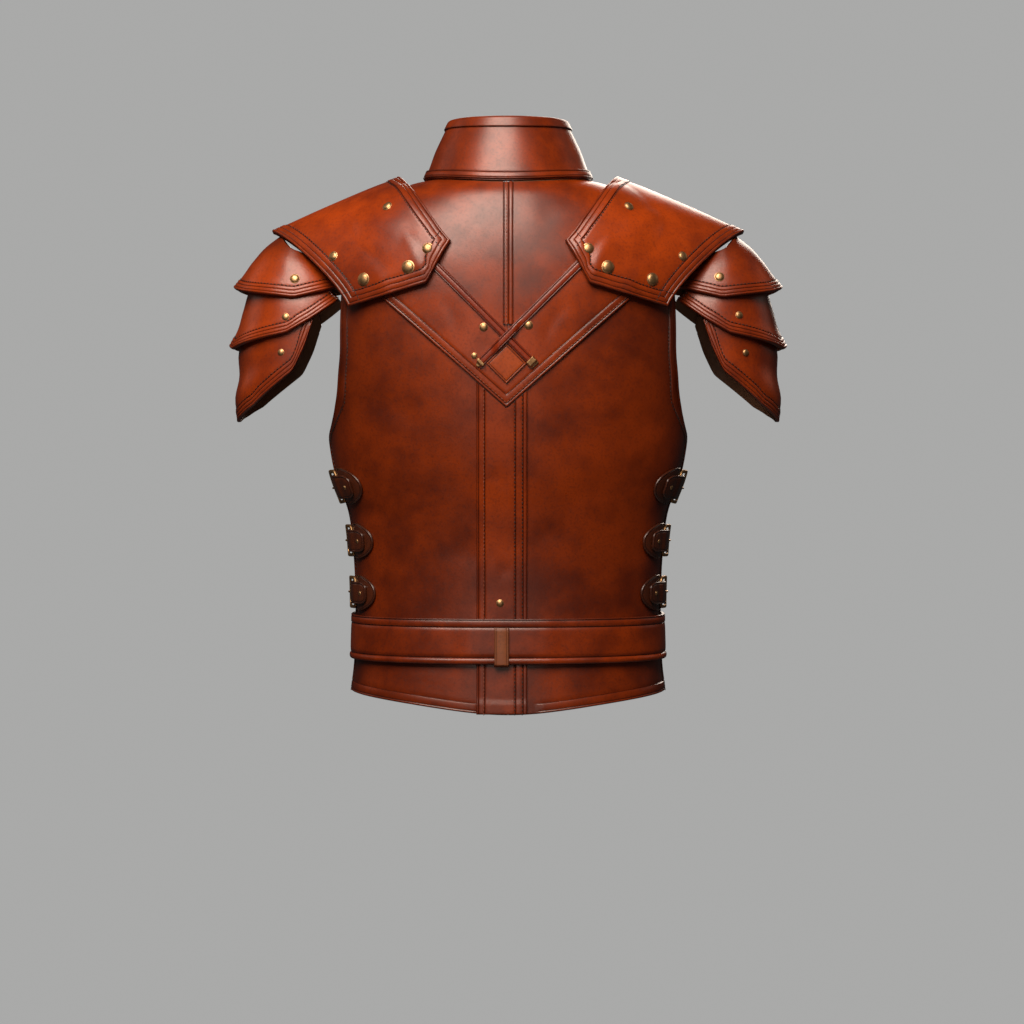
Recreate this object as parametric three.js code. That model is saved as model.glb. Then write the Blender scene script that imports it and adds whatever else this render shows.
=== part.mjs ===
// A leather armour vest in the shape it has when worn: a hollow body of four panels over a general
// figure, a stand collar, a crossed V yoke, shoulder plates with three hanging lames on each side,
// a waist belt, and three buckled straps down each side.
// Millimetres, +Z up. The back faces +Y, the front -Y, and +X is the wearer's left.
// The origin is the middle of the neck opening, at the height of the collar seam at the nape.
import * as THREE from 'three';

// Leather and gaps
const PANEL = 3;             // body panels, collar and shoulder plates
const TRIM = 2.2;            // strips, tabs, straps and yoke
const LAME = 2.6;            // hanging lames
const SEAM = 0.5;            // gap between pieces that lie on each other
const RAISE = 1.1;           // height of the raised edge borders

// Rings of the body form, the inside of the panels, from the neck seam down to the hem
const RING_COLUMNS = ['halfWidth', 'back', 'front', 'zBack', 'zSide', 'zFront', 'square'];
const FORM = rings([
  [84, 75, 78, -3, 4, -43, 2.0],           // neck seam
  [101, 84, 86, -16, 0, -53, 2.1],         // foot of the neck
  [129, 93, 93, -42, -11, -75, 2.1],       // shoulder
  [153, 99, 99, -71, -25, -101, 2.1],
  [172, 103, 104, -102, -44, -129, 2.2],   // end of the shoulder
  [185, 106, 109, -137, -92, -157, 2.25],
  [190, 106, 113, -182, -172, -197, 2.35], // shoulder blades and chest
  [185, 103, 113, -238, -238, -245, 2.4],  // underarm
  [177, 98, 109, -292, -292, -295, 2.4],
  [162, 92, 102, -336, -336, -338, 2.4],
  [156.5, 88, 97, -386, -386, -386, 2.4],  // waist
  [155, 89, 95, -440, -440, -440, 2.4],
  [156.5, 94, 98, -490, -490, -490, 2.4],
  [160, 101, 103, -537, -520, -537, 2.4],  // hem
]);
const COLLAR = rings([
  [84, 75, 78, -0.4, 7.4, -40.4, 2.0],     // seam
  [78.5, 70, 73, 15, 21, -26, 2.0],
  [73, 65.5, 67.5, 31, 36, -10, 2.0],
  [66, 61, 62.5, 47, 51, 6, 2.0],
  [59, 57, 58, 64, 65, 23, 2.0],           // top edge
]);

// Panel edges: degrees from the middle of the back or of the front, at each ring
const EDGES = [
  { ring: 0, back: 89.8, front: 89.8 },    // shoulder seam
  { ring: 3.7, back: 89.8, front: 89.8 },
  { ring: 4, back: 80.5, front: 79 },      // armhole
  { ring: 4.5, back: 75.5, front: 72 },
  { ring: 5, back: 72, front: 67.5 },
  { ring: 6, back: 70.7, front: 66 },
  { ring: 6.6, back: 73, front: 69.5 },
  { ring: 7, back: 76.7, front: 75 },
  { ring: 7.25, back: 81, front: 81 },
  { ring: 7.4, back: 87, front: 87 },      // side, open under the straps
  { ring: 13, back: 87, front: 87 },
];
const NECK_SLIT = { ring: 4, angle: 5 };   // slit below the collar, in the middle of the front
const HEM_BORDER_RING = 12.74;

// Strips and yoke on the back, across and up
const STRIP = { shift: 6.2, halfWidth: 25.2, bottom: -533.5 };
const YOKE = { middle: 1.5, upper: [84, -67, -153.5], lower: [136, -108, -228.7], border: 0.83 };
const WELT = { halfWidth: 4, reach: 80, crossing: -158.5, tail: -26, slope: 1 };
const DIAMOND = { reach: 20, height: -185 };

// Waist belt
const BELT = { top: -441, bottom: -487, thick: 2.8, ledge: 0.8 };
const KEEPER = { middle: 6.3, halfWidth: 7.2, top: -450, bottom: -489.5 };
const BELT_BUCKLE = { halfAcross: 21, halfUp: 27, wire: 5 };
const BELT_TIP = { start: 154, end: 198, height: 15 };

// Side straps: heights of the three on each side, and degrees round from the back
const SIDE = { heights: [-307, -364, -418], tabHalf: 18.5, tabStart: 67.5, tabEnd: 79.2 };
const SIDE_BUCKLE = { start: 79.5, end: 88.5, half: 17, wire: 3.6, thick: 2.6 };
const SIDE_STRAP = { tip: 71.5, root: 116, half: 11.5 };

// Shoulder plate: four ribs from the inner edge to the outer one, each from the ridge of the
// shoulder down to a corner of the lower edge
const PLATE_RIBS = [
  { ridge: [113, 0, 12], bend: [104, 64, 7], fall: [69, 104, -51], corner: [57, 100, -62] },
  { ridge: [143, 0, 1], bend: [136, 70, -4], fall: [91, 116, -69], corner: [81, 107, -105] },
  { ridge: [195, 0, -21], bend: [184, 56, -25], fall: [127, 100, -92], corner: [121, 99, -116] },
  { ridge: [246, 0, -44], bend: [231, 35, -47], fall: [173, 74, -99], corner: [161, 79, -127] },
];
const PLATE_CLEAR = { inner: 4.7, outer: 8.2 };
const PLATE_STUDS = [[122, -25], [80, -70.5], [99.5, -89], [145, -100], [177, -75]];

// Lames: bands round the arm, whose axis stands at ARM. Reach out and fore-and-aft at five
// heights from the top edge to the bottom, and the heights of both edges round the arm
const ARM = 218;
const LAMES = [
  {
    out: [17, 35, 47, 56.5, 67],
    deep: [39, 47, 52.5, 56.5, 60],
    edges: [[0, -47.5, -102], [35, -54, -108], [70, -63, -113], [90, -66, -116], [125, -83, -103]],
  },
  {
    out: [44, 52, 57.5, 62.5, 71.5],
    deep: [53.2, 55.4, 58, 60, 62.5],
    edges: [[0, -88, -163], [20, -91, -167], [84, -104, -152], [105, -104, -137], [130, -100, -116]],
  },
  {
    out: [58, 62.5, 62, 66, 63],
    deep: [56.7, 57.5, 58.5, 59.5, 60],
    edges: [[0, -150, -243], [25, -149, -236], [47, -146, -226], [63, -143, -213], [89, -139, -191],
      [100, -132, -166], [107, -127, -141]],
  },
];
const LAME_BORDER = 0.82;
const STUD = { radius: 5.6, height: 3.2, base: 0.75 };

const leather = new THREE.MeshStandardMaterial({ color: 0x8e3a18, roughness: 0.42, metalness: 0 });
const darkLeather = new THREE.MeshStandardMaterial({ color: 0x4a1a0c, roughness: 0.4, metalness: 0 });
const brass = new THREE.MeshStandardMaterial({ color: 0xa8803f, roughness: 0.35, metalness: 1 });

const vest = new THREE.Group();

function rings(rows) {
  return rows.map((row) => Object.fromEntries(row.map((value, i) => [RING_COLUMNS[i], value])));
}

function mix(a, b, share) {
  return a + (b - a) * share;
}

function smooth(from, to, value) {
  const share = Math.min(Math.max((value - from) / (to - from), 0), 1);
  return share * share * (3 - 2 * share);
}

// A smooth curve through evenly spaced values, read at a fractional place.
function curveThrough(values, place) {
  const last = values.length - 1;
  const i = Math.min(Math.max(Math.floor(place), 0), last - 1);
  const before = i > 0 ? values[i - 1] : 2 * values[0] - values[1];
  const after = i + 2 <= last ? values[i + 2] : 2 * values[last] - values[last - 1];
  const [a, b, c, d] = [before, values[i], values[i + 1], after];
  const f = place - i;
  return b + 0.5 * f * (c - a + f * (2 * a - 5 * b + 4 * c - d + f * (3 * (b - c) + d - a)));
}

// A straight-line look-up in rows whose first entry rises.
function lineThrough(rows, key, value, place) {
  let i = 0;
  while (i < rows.length - 2 && rows[i + 1][key] < place) i += 1;
  const share = (place - rows[i][key]) / (rows[i + 1][key] - rows[i][key]);
  return mix(rows[i][value], rows[i + 1][value], Math.min(Math.max(share, 0), 1));
}

// A point on a table of rings: radians round from the middle of the back, and a fractional ring.
function ringPoint(table, angle, ring) {
  const read = (name) => curveThrough(table.map((row) => row[name]), ring);
  const sine = Math.sin(angle);
  const cosine = Math.cos(angle);
  const depth = read(cosine > 0 ? 'back' : 'front');
  const square = read('square');
  const across = Math.abs(sine / read('halfWidth')) ** square;
  const deep = Math.abs(cosine / depth) ** square;
  const reach = (across + deep) ** (-1 / square);
  const side = read('zSide');
  const height = side + (read(cosine > 0 ? 'zBack' : 'zFront') - side) * cosine * cosine;
  return new THREE.Vector3(reach * sine, reach * cosine, height);
}

// The outward direction of a surface given by a function of two values.
function outward(surface, u, v) {
  const step = 1e-3;
  const alongU = surface(u + step, v).sub(surface(u - step, v));
  const alongV = surface(u, v + step).sub(surface(u, v - step));
  return alongU.cross(alongV).normalize();
}

function lifted(surface, u, v, lift) {
  return surface(u, v).addScaledVector(outward(surface, u, v), lift);
}

const body = (angle, ring) => ringPoint(FORM, angle, ring);
const collar = (angle, ring) => ringPoint(COLLAR, angle, ring);
const radians = THREE.MathUtils.degToRad;

// The place on the body at an angle in degrees and a height, moved out by lift.
function shell(degrees, height, lift) {
  const angle = radians(degrees);
  let high = 0;
  let low = FORM.length - 1;
  for (let step = 0; step < 30; step += 1) {
    const middle = (high + low) / 2;
    if (body(angle, middle).z > height) high = middle;
    else low = middle;
  }
  return lifted(body, angle, high, lift);
}

// The two values at which a surface passes through (x, z) as seen from behind.
function findOn(surface, x, z, start) {
  let [u, v] = start;
  const step = 1e-3;
  for (let turn = 0; turn < 40; turn += 1) {
    const here = surface(u, v);
    const overU = surface(u + step, v).sub(here).divideScalar(step);
    const overV = surface(u, v + step).sub(here).divideScalar(step);
    const determinant = overU.x * overV.z - overV.x * overU.z;
    const missX = x - here.x;
    const missZ = z - here.z;
    u += 0.7 * (missX * overV.z - missZ * overV.x) / determinant;
    v += 0.7 * (missZ * overU.x - missX * overU.z) / determinant;
  }
  return [u, v];
}

// A place on the back at (x, z), moved out by lift.
function onBack(x, z, lift) {
  const [angle, ring] = findOn(body, x, z, [Math.atan2(x, 100), 5]);
  return lifted(body, angle, ring, lift);
}

// Moves a point out until it clears the body form by a distance.
function clearOfBody(point, clearance) {
  let angle = Math.atan2(point.x, point.y);
  let ring = 3;
  const step = 1e-3;
  for (let turn = 0; turn < 40; turn += 1) {
    const here = body(angle, ring);
    const overU = body(angle + step, ring).sub(here).divideScalar(step);
    const overV = body(angle, ring + step).sub(here).divideScalar(step);
    const miss = point.clone().sub(here);
    angle += 0.6 * miss.dot(overU) / overU.lengthSq();
    ring = Math.min(Math.max(ring + 0.6 * miss.dot(overV) / overV.lengthSq(), 0), FORM.length - 1);
  }
  const out = outward(body, angle, ring);
  const distance = point.clone().sub(body(angle, ring)).dot(out);
  return distance < clearance ? point.addScaledVector(out, clearance - distance) : point;
}

// A closed wall over a grid of two values. place(u, v, side) gives its inner (side 0) and outer
// (side 1) faces, and a wall that wraps closes on itself along u.
function slab(us, vs, place, wrap = false) {
  const positions = [];
  for (const side of [0, 1]) {
    for (const u of us) {
      for (const v of vs) positions.push(...place(u, v, side).toArray());
    }
  }
  const vertex = (i, j, side) => (side * us.length + (i % us.length)) * vs.length + j;
  const faces = [];
  const quad = (a, b, c, d) => faces.push(a, b, c, a, c, d);
  const cells = wrap ? us.length : us.length - 1;
  const end = vs.length - 1;
  for (let i = 0; i < cells; i += 1) {
    for (let j = 0; j < end; j += 1) {
      quad(vertex(i, j, 1), vertex(i + 1, j, 1), vertex(i + 1, j + 1, 1), vertex(i, j + 1, 1));
      quad(vertex(i, j, 0), vertex(i, j + 1, 0), vertex(i + 1, j + 1, 0), vertex(i + 1, j, 0));
    }
    quad(vertex(i, 0, 0), vertex(i + 1, 0, 0), vertex(i + 1, 0, 1), vertex(i, 0, 1));
    quad(vertex(i, end, 1), vertex(i + 1, end, 1), vertex(i + 1, end, 0), vertex(i, end, 0));
  }
  for (let j = 0; j < end && !wrap; j += 1) {
    quad(vertex(0, j, 1), vertex(0, j + 1, 1), vertex(0, j + 1, 0), vertex(0, j, 0));
    quad(vertex(cells, j + 1, 1), vertex(cells, j, 1), vertex(cells, j, 0), vertex(cells, j + 1, 0));
  }
  return closed(positions, faces);
}

// A geometry from points and faces, turned so that its faces point out.
function closed(positions, faces) {
  let volume = 0;
  const corner = (k) => new THREE.Vector3().fromArray(positions, 3 * faces[k]);
  for (let k = 0; k < faces.length; k += 3) {
    volume += corner(k).dot(corner(k + 1).cross(corner(k + 2)));
  }
  const geometry = new THREE.BufferGeometry();
  geometry.setAttribute('position', new THREE.Float32BufferAttribute(positions, 3));
  geometry.setIndex(volume > 0 ? faces : faces.slice().reverse());
  geometry.computeVertexNormals();
  return geometry;
}

function mirrored(geometry) {
  const positions = Array.from(geometry.getAttribute('position').array);
  for (let k = 0; k < positions.length; k += 3) positions[k] *= -1;
  return closed(positions, Array.from(geometry.getIndex().array));
}

function add(name, geometry, material) {
  const mesh = new THREE.Mesh(geometry, material);
  mesh.name = name;
  vest.add(mesh);
}

function addPair(name, geometry, material) {
  add(`${name}_left`, geometry, material);
  add(`${name}_right`, mirrored(geometry), material);
}

function steps(from, to, count) {
  return Array.from({ length: count + 1 }, (_, i) => mix(from, to, i / count));
}

// A domed stud standing on a point, along a direction.
function stud(point, direction) {
  const profile = [[0, 0], [1, 0], [0.93, 0.45], [0.6, 0.86], [0, 1]]
    .map(([r, h]) => new THREE.Vector2(r * STUD.radius, h * STUD.height));
  const geometry = new THREE.LatheGeometry(profile, 8);
  geometry.rotateX(Math.PI / 2);
  const turn = new THREE.Quaternion().setFromUnitVectors(new THREE.Vector3(0, 0, 1), direction);
  geometry.applyQuaternion(turn);
  const seat = point.clone().addScaledVector(direction, STUD.base);
  geometry.translate(seat.x, seat.y, seat.z);
  return geometry;
}

// Back and front panels. The armhole, side and hem borders are raised in the outer face.
const PANEL_ACROSS = [0, 0.12, 0.24, 0.36, 0.48, 0.6, 0.71, 0.81, 0.89, 0.94, 0.952, 1];
const PANEL_DOWN = [0, 0.4, 1, 1.7, 2.4, 3, 3.45, 3.7, 4, 4.5, 5, 5.5, 6, 6.6, 7, 7.25, 7.4, 8, 8.5,
  9, 9.5, 10, 10.6, 11.2, 12, HEM_BORDER_RING, HEM_BORDER_RING + 0.05, 13];

function panel(side) {
  const place = (u, ring, face) => {
    const slit = side === 'front' && ring < NECK_SLIT.ring ? NECK_SLIT.angle : 0.12;
    const round = mix(slit, lineThrough(EDGES, 'ring', side, ring), u);
    const angle = side === 'back' ? radians(round) : Math.PI - radians(round);
    const onBorder = (u > 0.95 && ring >= 3.7) || (u > 0.2 && ring > HEM_BORDER_RING);
    return lifted(body, angle, ring, face * (PANEL + (onBorder ? RAISE : 0)));
  };
  return slab(PANEL_ACROSS, PANEL_DOWN, place);
}
addPair('back_panel', panel('back'), leather);
addPair('front_panel', panel('front'), leather);

// Collar: one band, open at the front, with a binding at the top and a narrow band at the seam.
function collarBand(from, to, inner, thick, down) {
  const rim = 180 - NECK_SLIT.angle;
  const place = (degrees, ring, face) => lifted(
    collar, radians(degrees), mix(from, to, ring), -(inner + face * thick));
  return slab(steps(-rim, rim, 34), down, place);
}
add('collar', collarBand(0, 4, 0, PANEL, steps(0, 1, 5)), leather);
add('collar_seam_band', collarBand(0.05, 0.62, PANEL + SEAM, 1.6, [0, 1]), leather);
add('collar_binding', collarBand(3.5, 4, PANEL + SEAM, 1.4, [0, 1]), leather);

// A patch on the back between two edges given across and up, from share 0 to share 1.
function backPatch(along, across, edgeA, edgeB, inner, thick) {
  const place = (s, r, face) => {
    const a = edgeA(s);
    const b = edgeB(s);
    const rise = typeof thick === 'function' ? thick(r, s) : thick;
    const base = typeof inner === 'function' ? inner(s) : inner;
    return onBack(mix(a[0], b[0], r), mix(a[1], b[1], r), base + face * rise);
  };
  return slab(along, across, place);
}
const ON_PANEL = PANEL + SEAM;
const YOKE_THICK = TRIM - 0.7;
const ON_YOKE = ON_PANEL + YOKE_THICK + SEAM + 0.2;

// The strip down the middle, over the seam between the back panels: its top follows the yoke's
// point, its edges are raised, and it steps over the hem border.
const STRIP_ACROSS = [0, 0.1, 0.12, 0.593, 0.88, 0.9, 1];
const STRIP_DOWN = steps(0, 0.955, 14).concat([0.967, 1]);
function yokePoint(x) {
  const [reach, outer, middle] = YOKE.lower;
  return mix(middle, outer, Math.abs(x - YOKE.middle) / reach) - 1.2;
}
add('back_centre_strip', slab(STRIP_DOWN, STRIP_ACROSS, (s, r, face) => {
  const x = STRIP.shift + mix(STRIP.halfWidth, -STRIP.halfWidth, r);
  const z = mix(yokePoint(x), STRIP.bottom, s);
  const onEdge = r < 0.11 || r > 0.89;
  const overHem = RAISE * smooth(0.955, 0.967, s);
  return onBack(x, z, ON_PANEL + overHem + face * (onEdge ? TRIM : TRIM - 0.6));
}), leather);

// Narrow strips over the middle seams: the back's above the yoke, the front's below the slit.
function seamStrip(middle, halfWidth, down) {
  const place = (ring, share, face) => {
    const wide = Math.asin(share * halfWidth / Math.abs(body(middle, ring).y));
    return lifted(body, middle + wide, ring, ON_PANEL + face * 1.6);
  };
  return slab(down, [-1, 0, 1], place);
}
add('back_seam_strip', seamStrip(0, 5.2, [0.12, 0.4, 1, 1.7, 2.4, 3, 3.45, 3.7, 4, 4.5, 5, 5.22]), leather);
add('front_seam_strip', seamStrip(
  Math.PI, 6, [4.5, 5, 5.5, 6, 6.6, 7, 7.4, 8, 8.5, 9, 9.5, 10, 10.6, 11.2, 12, 12.7]), leather);

// V yoke: one mitred band from shoulder to shoulder, its lower border raised.
function yokeEdge([reach, outerHeight, middleHeight]) {
  return (s) => [YOKE.middle + reach * s, mix(middleHeight, outerHeight, Math.abs(s))];
}
add('back_yoke', backPatch(
  steps(-1, 1, 16), [0, 0.3, 0.6, YOKE.border - 0.02, YOKE.border, 1],
  yokeEdge(YOKE.upper), yokeEdge(YOKE.lower), ON_PANEL,
  (r) => (r >= YOKE.border ? TRIM : YOKE_THICK),
), leather);

// Two crossed welts along the upper edges, the right one over the left, and a square between.
function welt(side, over) {
  const far = side * WELT.reach;
  const tail = side * WELT.tail;
  const edge = (shift) => (s) => {
    const x = mix(far, tail, s);
    return [YOKE.middle + x, WELT.crossing + WELT.slope * side * x + shift * 1.41];
  };
  const hump = (s) => ON_YOKE + over * (TRIM + SEAM) * (1 - smooth(7, 15, Math.abs(mix(far, tail, s))));
  return backPatch(steps(0, 1, 18), [0, 1], edge(WELT.halfWidth), edge(-WELT.halfWidth), hump, TRIM - 0.6);
}
add('yoke_welt_left', welt(1, 0), leather);
add('yoke_welt_right', welt(-1, 1), leather);
const diamondEdge = (top) => (s) => {
  const fall = DIAMOND.reach - Math.abs(s) + 0.6;
  return [YOKE.middle + s, DIAMOND.height + (top ? Math.min(fall, DIAMOND.reach - 1) : -fall)];
};
add('yoke_diamond', backPatch(
  steps(-1, 1, 4).map((s) => s * DIAMOND.reach), [0, 1],
  diamondEdge(true), diamondEdge(false), ON_YOKE, 1.2), leather);

// Waist belt with ledges along both edges, a keeper behind, and a buckle and tip in front.
function beltLift(degrees) {
  const fromBack = Math.abs(degrees);
  const overStrips = 1 - smooth(22, 34, fromBack) + smooth(160, 170, fromBack);
  return ON_PANEL + RAISE + 0.7 + overStrips * (TRIM - 1);
}
const beltPlace = (degrees, share, face) => {
  const ledge = share < 0.2 || share > 0.85 ? BELT.ledge : 0;
  const height = mix(BELT.top, BELT.bottom, share);
  return shell(degrees, height, beltLift(degrees) + face * (BELT.thick + ledge));
};
const turn = steps(-180, 180, 48).slice(0, -1);
add('waist_belt', slab(turn, [0, 0.185, 0.2, 0.85, 0.865, 1], beltPlace, true), leather);
const ON_BELT = beltLift(0) + BELT.thick + BELT.ledge + SEAM;
add('belt_keeper', backPatch(
  steps(0, 1, 6), [0, 1],
  (s) => [KEEPER.middle + KEEPER.halfWidth, mix(KEEPER.top, KEEPER.bottom, s)],
  (s) => [KEEPER.middle - KEEPER.halfWidth, mix(KEEPER.top, KEEPER.bottom, s)],
  ON_BELT, TRIM,
), leather);

// A flat ring with square-cut rounded corners laid on the body round an angle and a height.
function frame(middle, halfAngle, height, halfUp, wire, lift, thick) {
  const perDegree = shell(middle, height, 0).distanceTo(shell(middle + 1, height, 0));
  const place = (bend, inset, face) => {
    const corner = (Math.cos(bend) ** 4 + Math.sin(bend) ** 4) ** -0.25;
    const across = (halfAngle - inset * wire / perDegree) * Math.cos(bend) * corner;
    const up = (halfUp - inset * wire) * Math.sin(bend) * corner;
    return shell(middle + across, height + up, lift(middle + across) + face * thick);
  };
  return slab(steps(0, 2 * Math.PI, 20).slice(0, -1), [0, 1], place, true);
}
const beltMiddle = (BELT.top + BELT.bottom) / 2;
add('belt_tip', slab(
  steps(0, 1, 9), [-1, 0, 1],
  (s, r, face) => {
    const taper = 1 - smooth(0.8, 1, s) * 0.85;
    const lift = beltLift(180) + BELT.thick + BELT.ledge + SEAM;
    return shell(mix(BELT_TIP.end, BELT_TIP.start, s), beltMiddle + r * taper * BELT_TIP.height,
      lift + face * TRIM);
  }), leather);
add('belt_buckle', frame(
  184, BELT_BUCKLE.halfAcross / 1.8, beltMiddle, BELT_BUCKLE.halfUp, BELT_BUCKLE.wire,
  () => beltLift(180) + BELT.thick + BELT.ledge + 2 * SEAM + TRIM, 3.2), brass);

// Side straps: a D-shaped tab on the back panel holds a buckle, and a strap from the front panel
// passes under the buckle's far bar and over its near one, to lie on the tab.
const ON_EDGE = ON_PANEL + RAISE + 0.2;
const TAB_LIFT = ON_PANEL + 0.3;
function strapLift(degrees) {
  const onTab = TAB_LIFT + TRIM + 0.1;
  const overBar = ON_EDGE + SIDE_BUCKLE.thick + 0.5;
  return degrees < 80
    ? mix(onTab, overBar, smooth(76.5, 79, degrees))
    : mix(overBar, ON_EDGE, smooth(82, 86.5, degrees));
}
function buckleLift(degrees) {
  return mix(ON_EDGE, ON_EDGE + TRIM + 0.4, smooth(82, 86.5, degrees));
}
SIDE.heights.forEach((height, row) => {
  const round = (h) => Math.sqrt(1 - (h / (SIDE.tabHalf + 0.7)) ** 2);
  const tab = slab(steps(-1, 1, 8), [0, 0.5, 1], (r, s, face) => {
    const up = r * SIDE.tabHalf;
    const start = SIDE.tabEnd - (SIDE.tabEnd - SIDE.tabStart) * round(up);
    return shell(mix(start, SIDE.tabEnd, s), height + up, TAB_LIFT + face * (TRIM - 0.4));
  });
  addPair(`side_tab_${row + 1}`, tab, darkLeather);
  const buckle = frame(
    (SIDE_BUCKLE.start + SIDE_BUCKLE.end) / 2, (SIDE_BUCKLE.end - SIDE_BUCKLE.start) / 2,
    height, SIDE_BUCKLE.half, SIDE_BUCKLE.wire, buckleLift, SIDE_BUCKLE.thick);
  addPair(`side_buckle_${row + 1}`, buckle, brass);
  const strap = slab(steps(0, 1, 24), [-1, 0, 1], (s, r, face) => {
    const degrees = mix(SIDE_STRAP.tip, SIDE_STRAP.root, s);
    const taper = 0.55 + 0.45 * smooth(0, 0.12, s);
    return shell(degrees, height + r * taper * SIDE_STRAP.half, strapLift(degrees) + face * (TRIM - 0.2));
  });
  addPair(`side_strap_${row + 1}`, strap, darkLeather);
});

// Shoulder plates, arched from front to back over the shoulder.
function plate(across, over) {
  const read = (name, axis, straight) => {
    const values = PLATE_RIBS.map((rib) => rib[name][axis]);
    const i = Math.min(Math.max(Math.floor(across), 0), values.length - 2);
    return straight ? mix(values[i], values[i + 1], across - i) : curveThrough(values, across);
  };
  const share = Math.abs(over);
  const weights = [(1 - share) ** 3, 3 * share * (1 - share) ** 2, 3 * share ** 2 * (1 - share), share ** 3];
  const point = [0, 1, 2].map((axis) => (
    weights[0] * read('ridge', axis, false) + weights[1] * read('bend', axis, false)
    + weights[2] * read('fall', axis, true) + weights[3] * read('corner', axis, true)));
  const behind = new THREE.Vector3(...point);
  const clearance = mix(PLATE_CLEAR.inner, PLATE_CLEAR.outer, smooth(0, 0.4, across)) + PANEL;
  const clear = clearOfBody(behind, clearance);
  return over < 0 ? clear.setY(-clear.y) : clear;
}
const PLATE_ACROSS = [0, 0.27, 0.3, 0.65, 1, 1.5, 2, 2.4, 2.7, 2.73, 3];
const PLATE_OVER = [1, 0.9, 0.88, 0.74, 0.6, 0.45, 0.3, 0.15, 0];
const plateOver = PLATE_OVER.concat(PLATE_OVER.slice(0, -1).reverse().map((value) => -value));
const plateWall = slab(PLATE_ACROSS, plateOver, (across, over, face) => {
  const onBorder = across <= 0.28 || across >= 2.72 || Math.abs(over) >= 0.89;
  const out = outward(plate, across, over);
  return plate(across, over).addScaledVector(out, face === 1 ? (onBorder ? RAISE : 0) : -PANEL);
});
addPair('shoulder_plate', plateWall, leather);
// The plate's faceted face, so that studs sit on it and not on the true curve above it.
function facetedPlate(across, over) {
  const cell = (list, value) => {
    const i = Math.max(list.findIndex((entry) => entry > value) - 1, 0);
    return [list[i], list[i + 1], (value - list[i]) / (list[i + 1] - list[i])];
  };
  const [a, b, f] = cell(PLATE_ACROSS, across);
  const [c, d, g] = cell(PLATE_OVER.slice().reverse(), over);
  return plate(a, c).lerp(plate(b, c), f).lerp(plate(a, d).lerp(plate(b, d), f), g);
}
PLATE_STUDS.forEach(([x, z], row) => {
  const [across, over] = findOn(plate, x, z, [1.5, 0.7]);
  addPair(`plate_stud_${row + 1}`, stud(facetedPlate(across, over), outward(plate, across, over)), brass);
});

// Lames: bands round the arm, open on the side of the body.
function lameSurface({ out, deep, edges }) {
  return (round, down) => {
    const spread = Math.abs(round);
    const top = lineThrough(edges, 0, 1, spread);
    const bottom = lineThrough(edges, 0, 2, spread);
    const angle = radians(round);
    return new THREE.Vector3(
      ARM + curveThrough(out, 4 * down) * Math.cos(angle),
      curveThrough(deep, 4 * down) * Math.sin(angle),
      mix(top, bottom, down));
  };
}
LAMES.forEach((lame, row) => {
  const surface = lameSurface(lame);
  const widest = lame.edges.at(-1)[0];
  const out = (round, down) => outward(surface, round, down).negate();
  const wall = slab(
    steps(-widest, widest, 18), [0, 0.28, 0.55, LAME_BORDER - 0.03, LAME_BORDER, 1],
    (round, down, face) => {
      const rise = face === 1 ? (down >= LAME_BORDER ? RAISE - 0.2 : 0) : -LAME;
      return surface(round, down).addScaledVector(out(round, down), rise);
    });
  addPair(`lame_${row + 1}`, wall, leather);
});

export default vest;
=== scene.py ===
import math
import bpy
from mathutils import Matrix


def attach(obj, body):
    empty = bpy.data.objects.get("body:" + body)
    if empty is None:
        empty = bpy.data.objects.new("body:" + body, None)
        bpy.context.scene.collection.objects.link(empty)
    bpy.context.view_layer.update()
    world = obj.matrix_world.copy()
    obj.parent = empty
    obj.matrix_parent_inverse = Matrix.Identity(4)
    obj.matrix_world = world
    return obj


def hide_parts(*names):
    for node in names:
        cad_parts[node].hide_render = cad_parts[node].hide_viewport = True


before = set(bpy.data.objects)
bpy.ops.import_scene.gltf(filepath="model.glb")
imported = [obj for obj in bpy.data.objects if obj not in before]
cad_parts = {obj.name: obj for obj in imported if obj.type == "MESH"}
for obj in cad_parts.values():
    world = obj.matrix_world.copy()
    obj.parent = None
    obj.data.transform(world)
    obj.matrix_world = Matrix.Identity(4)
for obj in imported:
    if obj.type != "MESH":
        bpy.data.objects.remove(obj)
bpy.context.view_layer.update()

from types import SimpleNamespace

import bmesh
import bpy
import numpy as np
from mathutils import Vector


# ---------------------------------------------------------------- studio
# A pale floor that runs off into a pale grey, a camera behind the vest at the height of the
# shoulder blades, one large soft key light above it, and weaker soft lights for the other sides.
scene = bpy.context.scene
CAMERA_PLACE = (-0.004, 2.45, -0.27)
CAMERA_DOWN = 1.54
CAMERA_LENS = 82.6
FLOOR_HEIGHT = -1.45
FLOOR_HALF = 14.0
FLOOR_TONE = (0.42, 0.42, 0.415, 1)
FLOOR_FADE = (1.1, 2.2)        # metres from the middle over which it runs off into grey
PALE_GREY = (0.40, 0.40, 0.395, 1)
FILL = 0.05                    # the share of that grey which lights the vest
WARM = (1.0, 0.86, 0.74)
LIGHTS = [
    # name, place, aim, size, watts
    ("key", (0.32, 1.25, 1.10), (0.0, 0.05, -0.10), 1.2, 46),
    ("low_fill", (0.25, 2.7, -0.1), (0.0, 0.0, -0.50), 0.8, 2.6),
    ("left_wash", (2.5, -0.5, 0.9), (0.0, 0.0, -0.2), 1.4, 3),
    ("right_wash", (-2.5, -0.6, 0.8), (0.0, 0.0, -0.2), 1.4, 2),
    ("front_wash", (-0.6, -2.6, 0.9), (0.0, 0.0, -0.25), 1.5, 40),
]

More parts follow.
